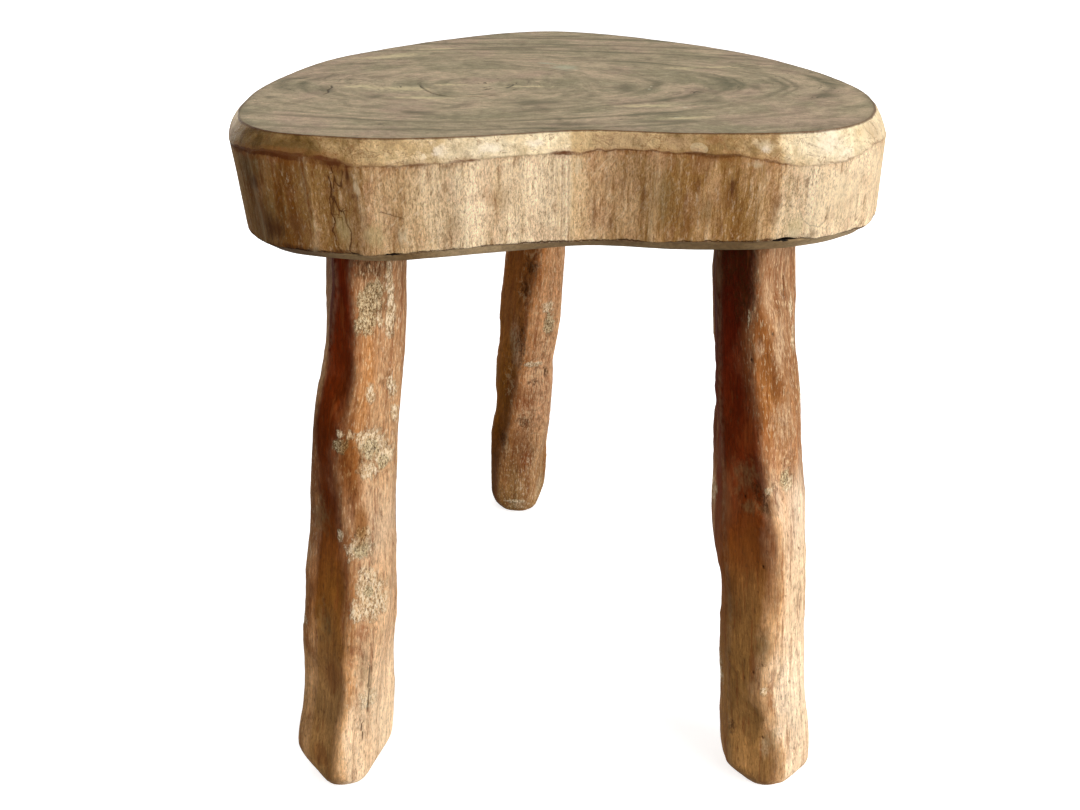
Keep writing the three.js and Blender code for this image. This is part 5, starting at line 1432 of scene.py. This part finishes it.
def wall_material():
    g = Nodes("seat_wall_fibres", 0.05)
    loc = g.place()
    flat = g.attr("unrolled", True)
    fine = g.noise(g.grain(loc, 1, 1, 0.5), 1500, 4, 0.75)
    chips = g.noise(g.grain(loc, 1, 1, 0.36), 740, 5, 0.75)
    fibre = g.noise(g.grain(loc, 1, 1, 0.10), 620, 4, 0.65, 0.2)
    streak = g.noise(g.grain(loc, 1, 1, 0.09), 190, 4, 0.6, 0.2)
    broad = g.noise(g.grain(loc, 1, 1, 0.22), 70, 3, 0.55)
    blot = g.noise(loc, 75, 4, 0.62)
    # Slanting ticks of the knife.
    turn = g.new("ShaderNodeVectorRotate")
    turn.rotation_type = "Z_AXIS"
    turn.inputs["Angle"].default_value = math.radians(-35)
    g.set(turn.inputs["Vector"], flat)
    tick = g.noise(g.grain(turn.outputs[0], 1, 0.24, 1), 820, 2, 0.5)
    tone = g.add(g.attr("tone"), g.add(g.line(broad, 0.3, 0.7, -0.08, 0.08), g.line(streak, 0.3, 0.7, -0.11, 0.11)))
    tone = g.add(tone, g.line(fibre, 0.3, 0.7, -0.08, 0.08))
    col = g.ramp(tone, [(0.0, "582f0c"), (0.2, "804e16"), (0.4, "a57b47"), (0.55, "c69e70"), (0.72, "e2c194"), (1.0, "fbe3be")])
    rosy = g.noise(g.grain(loc, 1, 1, 0.5), 120, 3, 0.6, 0.4)
    col = g.mix(g.smooth(blot, 0.50, 0.64, 0.0, 0.34), col, "b5835a")
    col = g.mix(g.smooth(rosy, 0.52, 0.64, 0.0, 0.30), col, "b98a66")
    col = g.mix(g.smooth(chips, 0.48, 0.34, 0.0, 0.26), col, "96602c")
    col = g.mix(g.smooth(fine, 0.49, 0.35, 0.0, 0.40), col, "9c6834")
    col = g.shade(col, chips, 0.85, 1.25)
    col = g.shade(col, fine, 0.72, 1.36)
    col = g.shade(col, streak, 0.89, 1.09)
    col = g.mix(g.smooth(fibre, 0.43, 0.33, 0.0, 0.45), col, "75481f")
    col = g.mix(g.smooth(tick, 0.42, 0.32, 0.0, 0.30), col, "8c5c30")
    # Cream ticks and flecks: pale torn fibres, partly painted glints.
    col = g.mix(g.mul(g.smooth(tick, 0.57, 0.68, 0.0, 0.40), g.smooth(g.attr("tone"), 0.35, 0.80, 0.14, 1.0)), col, "fbe6c2")
    col = g.mix(g.smooth(g.add(chips, g.line(fibre, 0.3, 0.7, -0.06, 0.06)), 0.55, 0.68, 0.0, 0.42), col, "f6dcb8")
    side = g.add(g.line(chips, 0.3, 0.7, -0.30, 0.30), g.line(fibre, 0.3, 0.7, -0.35, 0.35))
    upright = g.add(g.line(fibre, 0.3, 0.7, -0.50, 0.50), g.line(broad, 0.3, 0.7, -0.25, 0.25))
    col = side_patches(g, col, side, dict(olive="7c6640", tan="ac875c", cream="f0dab4", yellow="c6b07c", white="fdf3dc",
                                          pale="e2cda8", drip="74461f", stain="532a10"), upright)
    # Ribs left by the blade in the hollow, painted with a highlight on each rib and painted shade between them.
    s = g.attr("girth")
    window = g.mul(g.smooth(s, 633.4, 634.4), g.smooth(s, 641.8, 640.9))
    wave = g.math("SINE", g.mul(g.add(s, g.line(fibre, 0.3, 0.7, -0.22, 0.22)), 2 * math.pi / 2.7))
    fade = g.mul(g.mul(window, g.smooth(g.attr("drop"), 1.0, 4.0)), g.smooth(chips, 0.36, 0.60, 0.1, 1.0))
    col = g.mix(g.mul(fade, g.smooth(wave, 0.1, 0.9, 0.0, 0.40)), col, "f8d6a0")
    col = g.mix(g.mul(fade, g.smooth(wave, -0.2, -0.9, 0.0, 0.55)), col, "925822")
    col = arris_and_foot(g, col, chips, blot)
    col = g.mix(g.mul(g.attr("ridge"), g.line(fibre, 0.35, 0.65, 0.0, 0.30)), col, "efd9b0")
    n1 = g.bump(g.add(g.mul(fibre, 0.4), g.mul(streak, 0.6)), 0.0008)
    n2 = g.bump(g.add(g.mul(chips, 0.6), g.mul(tick, 0.4)), 0.0012, n1)
    n3 = g.bump(g.add(fine, g.mul(g.mul(fade, wave), 0.12)), 0.0005, n2)
    return g.finish(col, g.line(blot, 0.3, 0.7, 0.55, 0.68), n3)


def chamfer_material():
    g = Nodes("seat_chamfer_cut", 0.14)
    loc = g.place()
    blot = g.noise(loc, 75, 5, 0.65)
    mottle = g.noise(loc, 210, 4, 0.65, 0.4)
    crumb = g.noise(loc, 620, 4, 0.7)
    fine = g.noise(loc, 1500, 3, 0.65)
    tone = g.add(g.attr("tone"), g.add(g.line(blot, 0.3, 0.7, -0.12, 0.24), g.line(mottle, 0.3, 0.7, -0.07, 0.07)))
    col = g.ramp(tone, [(0.0, "543810"), (0.2, "755422"), (0.4, "a38150"), (0.55, "c6a474"), (0.72, "dcbc8a"), (1.0, "f4dfb8")])
    col = g.shade(col, mottle, 0.76, 1.21)
    col = g.shade(col, crumb, 0.78, 1.18)
    col = g.shade(col, fine, 0.88, 1.10)
    vein = g.math("ABSOLUTE", g.add(g.noise(loc, 120, 4, 0.6, 0.9), -0.5))
    col = g.mix(g.mul(g.smooth(vein, 0.018, 0.0, 0.0, 0.70), g.smooth(blot, 0.38, 0.54)), col, "8a5a30")
    vein2 = g.math("ABSOLUTE", g.add(g.noise(g.grain(loc, 1, 1, 1.6), 75, 4, 0.65, 0.6), -0.5))
    col = g.mix(g.mul(g.smooth(vein2, 0.013, 0.0, 0.0, 0.62), g.smooth(mottle, 0.40, 0.56)), col, "7a4c26")
    col = g.mix(g.smooth(crumb, 0.40, 0.32, 0.0, 0.18), col, "8f6a40")
    side = g.add(g.line(mottle, 0.3, 0.7, -0.35, 0.35), g.line(crumb, 0.3, 0.7, -0.25, 0.25))
    col = side_patches(g, col, side, dict(olive="664819", tan="ae8d6a", cream="ecdbba", yellow="d2bb88", white="fff1de",
                                          pale="e6d2ac", drip="85552c", stain="5e3012"))
    col = arris_and_foot(g, col, mottle, blot)
    n1 = g.bump(g.add(g.mul(mottle, 0.6), g.mul(crumb, 0.4)), 0.0008)
    n2 = g.bump(fine, 0.0003, n1)
    return g.finish(col, g.line(crumb, 0.3, 0.7, 0.40, 0.55), n2)


def under_material():
    g = Nodes("seat_underside", 0.15)
    loc = g.place()
    ring = g.attr("growth", True)
    rings = g.noise(g.grain(ring, 1, 0.10, 0.10), 300, 4, 0.6, 0.4)
    blot = g.noise(loc, 30, 4, 0.6)
    crumb = g.noise(loc, 500, 4, 0.65)
    col = g.mix(g.smooth(rings, 0.35, 0.65), "7e7158", "9c8d72")
    col = g.mix(g.smooth(blot, 0.45, 0.65, 0.0, 0.5), col, "8e7858")
    col = g.shade(col, crumb, 0.86, 1.10)
    low = g.mul(g.smooth(g.attr("drop"), 43.6, 44.4), g.smooth(g.attr("drop"), 51.0, 49.0, 0.0, 0.85))
    s = g.attr("girth")
    dim = g.mul(g.smooth(s, 430.0, 470.0), g.smooth(s, 548.0, 520.0))
    light = g.mul(g.smooth(s, 578.0, 592.0), g.smooth(s, 622.0, 604.0))
    strip = g.mix(g.smooth(blot, 0.42, 0.60), "886840", "a2845c")
    strip = g.mix(g.mul(light, 0.70), g.mix(dim, strip, "704e2c"), "dcbe94")
    strip = g.mix(g.smooth(s, 728.0, 750.0, 0.0, 0.6), strip, "dcc49c")
    col = g.mix(low, col, g.shade(strip, crumb, 0.70, 1.22))
    col = arris_and_foot(g, col, crumb, blot)
    n1 = g.bump(g.add(g.mul(rings, 0.5), g.mul(crumb, 0.5)), 0.0007)
    return g.finish(col, g.line(blot, 0.3, 0.7, 0.60, 0.72), n1)


def wedge_material():
    g = Nodes("wedge_split_wood", 0.3)
    loc = g.place()
    fibre = g.noise(g.grain(loc, 1, 1, 0.08), 1100, 4, 0.6)
    grain = g.noise(g.grain(loc, 1, 1, 0.06), 420, 3, 0.6)
    col = g.mix(g.smooth(grain, 0.35, 0.65), "a98458", "cfae7f")
    col = g.shade(col, fibre, 0.86, 1.1)
    return g.finish(col, g.line(grain, 0.3, 0.7, 0.6, 0.72), g.bump(fibre, 0.0004))


PLAIN = dict(
    streak="9a5226", warm="b87f50", brown="84491e", olive="85714a", red="94481f", cream="f0d8b4", pale="e2c69a",
    dirt_and_seat_shadow="45260f", white="ffe9c8", pit="5c3820", gap="5e3a1c", dash="f2d4a8", ridge_highlight_colour="c07a38", grey="b09c72", worn="e0c096", rough=0.50, mottle=0.12)
# Per leg, dark is the painted shaded-side colour and lit the painted lit-side colour, both by height. On the front legs
# the shaded side darkens toward the top, partly a painted shadow of the seat and partly the wood's darker red-brown
# there.
LOOKS = {
    "front_left": dict(
        PLAIN,
        dark=[(0.0, "b4844c"), (0.2, "b48450"), (0.34, "965e26"), (0.49, "8c4e1e"), (0.60, "702f08"), (0.70, "682a08"), (0.82, "6c2608"), (1.0, "641a03")],
        lit=[(0.0, "fcdcb4"), (0.22, "f6d2aa"), (0.38, "dcae82"), (0.52, "d2b08e"), (0.66, "c4986e"), (0.84, "c09066"), (1.0, "8c6040")]),
    "front_right": dict(
        PLAIN,
        dark=[(0.0, "b0804c"), (0.2, "a47641"), (0.36, "966636"), (0.48, "8a4e1e"), (0.62, "742f0f"), (0.8, "601d08"), (1.0, "4a1406")],
        lit=[(0.0, "f7d9b3"), (0.22, "ffe2c0"), (0.38, "eecca6"), (0.58, "ead0b2"), (0.68, "a87248"), (0.8, "a07048"), (1.0, "ac8462")]),
    "rear": dict(
        PLAIN,
        dark=[(0.0, "6c4014"), (0.2, "744210"), (0.4, "a06422"), (0.6, "a86a30"), (0.8, "a05c24"), (1.0, "94501c")],
        mottle=0.26, lit=[(0.0, "98723e"), (0.15, "ae8052"), (0.35, "cd9c74"), (0.6, "c29066"), (0.8, "c69266"), (1.0, "be885e")]),
}


# ------------------------------------------------------------------ the whole
seat, n_rows, seat_rows = build_seat()
dress_seat(seat, n_rows, seat_rows)
for m in (top_material(), chamfer_material(), wall_material(), under_material()):
    seat.data.materials.append(m)
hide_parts("seat_slab")
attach(seat, "root")

for name, leg in LEGS.items():
    ob, values, local = build_leg(name)
    ob.name = name
    saw_kerf(ob, leg, values, local)
    ob.data.polygons.foreach_set("use_smooth", np.ones(len(ob.data.polygons), bool))
    ob.data.materials.clear()
    ob.data.materials.append(leg_material(name + "_wood", LOOKS[name]))
    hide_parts(name + "_leg")
    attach(ob, "root")

wedge = wedge_material()
for name in LEGS:
    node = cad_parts[name + "_fox_wedge"]
    for i in range(max(len(node.material_slots), 1)):
        if node.material_slots:
            node.material_slots[i].material = wedge

# Camera at the photograph's viewing angle.
cam = bpy.data.cameras.new("camera")
cam.lens, cam.sensor_width, cam.sensor_fit = 36.0, 36.0, "HORIZONTAL"
cam.clip_start, cam.clip_end = 0.01, 50.0
cam_ob = bpy.data.objects.new("camera", cam)
cam_ob.location = (-0.0091, -0.5474, 0.44404)
cam_ob.rotation_euler = (math.radians(90 - 28.04), 0.0, 0.0)
bpy.context.collection.objects.link(cam_ob)
bpy.context.scene.camera = cam_ob

# Plain pale floor with a pale backdrop round it. Neither throws light back at the stool.
def backdrop(name, verts, faces, near, far):
    me = bpy.data.meshes.new(name)
    me.from_pydata(verts, [], faces)
    ob = bpy.data.objects.new(name, me)
    bpy.context.collection.objects.link(ob)
    g = Nodes(name + "_paper", 0.05)
    length = g.new("ShaderNodeVectorMath")
    length.operation = "LENGTH"
    g.set(length.inputs[0], g.place())
    glow = g.smooth(length.outputs["Value"], 0.25, 1.3, near, far)
    g.shader.inputs["Base Color"].default_value = (0.8, 0.8, 0.8, 1)
    g.shader.inputs["Roughness"].default_value = 0.95
    g.shader.inputs["Emission Color"].default_value = (1, 1, 1, 1)
    g.set(g.shader.inputs["Emission Strength"], glow)
    me.materials.append(g.mat)
    ob.visible_diffuse = ob.visible_glossy = ob.visible_transmission = False
    return ob


backdrop("floor", [(-7, -7, -0.0002), (7, -7, -0.0002), (7, 7, -0.0002), (-7, 7, -0.0002)], [(0, 1, 2, 3)], 0.72, 0.97)
wall_pts, wall_faces = [], []
for i in range(48):
    a = 2 * math.pi * i / 48
    wall_pts += [(6.5 * math.cos(a), 6.5 * math.sin(a), -0.01), (6.5 * math.cos(a), 6.5 * math.sin(a), 6.0)]
    j = (i + 1) % 48
    wall_faces.append((2 * i, 2 * i + 1, 2 * j + 1, 2 * j))
wall_ob = backdrop("backdrop", wall_pts, wall_faces, 0.97, 0.97)
wall_ob.visible_shadow = False


def soft_light(name, at, towards, size, watts, colour=(1, 1, 1)):
    li = bpy.data.lights.new(name, "AREA")
    li.shape, li.size, li.size_y = "RECTANGLE", size[0], size[1]
    li.energy, li.color = watts, colour
    ob = bpy.data.objects.new(name, li)
    ob.location = at
    ob.rotation_euler = (Vector(towards) - Vector(at)).to_track_quat("-Z", "Y").to_euler()
    bpy.context.collection.objects.link(ob)


soft_light("key", (1.50, -1.17, 0.80), (0.0, 0.0, 0.16), (1.8, 1.4), 43, (1.0, 0.98, 0.955))
soft_light("rim", (-1.3, 1.6, 0.55), (0.0, 0.0, 0.16), (0.8, 0.8), 9, (1.0, 0.92, 0.78))
soft_light("overhead", (0.1, 0.4, 2.1), (0.0, 0.0, 0.2), (1.6, 1.6), 13)

world = bpy.data.worlds.new("studio")
world.use_nodes = True
world.node_tree.nodes["Background"].inputs[0].default_value = (1, 1, 1, 1)
world.node_tree.nodes["Background"].inputs[1].default_value = 0.30
bpy.context.scene.world = world
bpy.context.scene.view_settings.view_transform = "Standard"
bpy.context.scene.view_settings.look = "None"
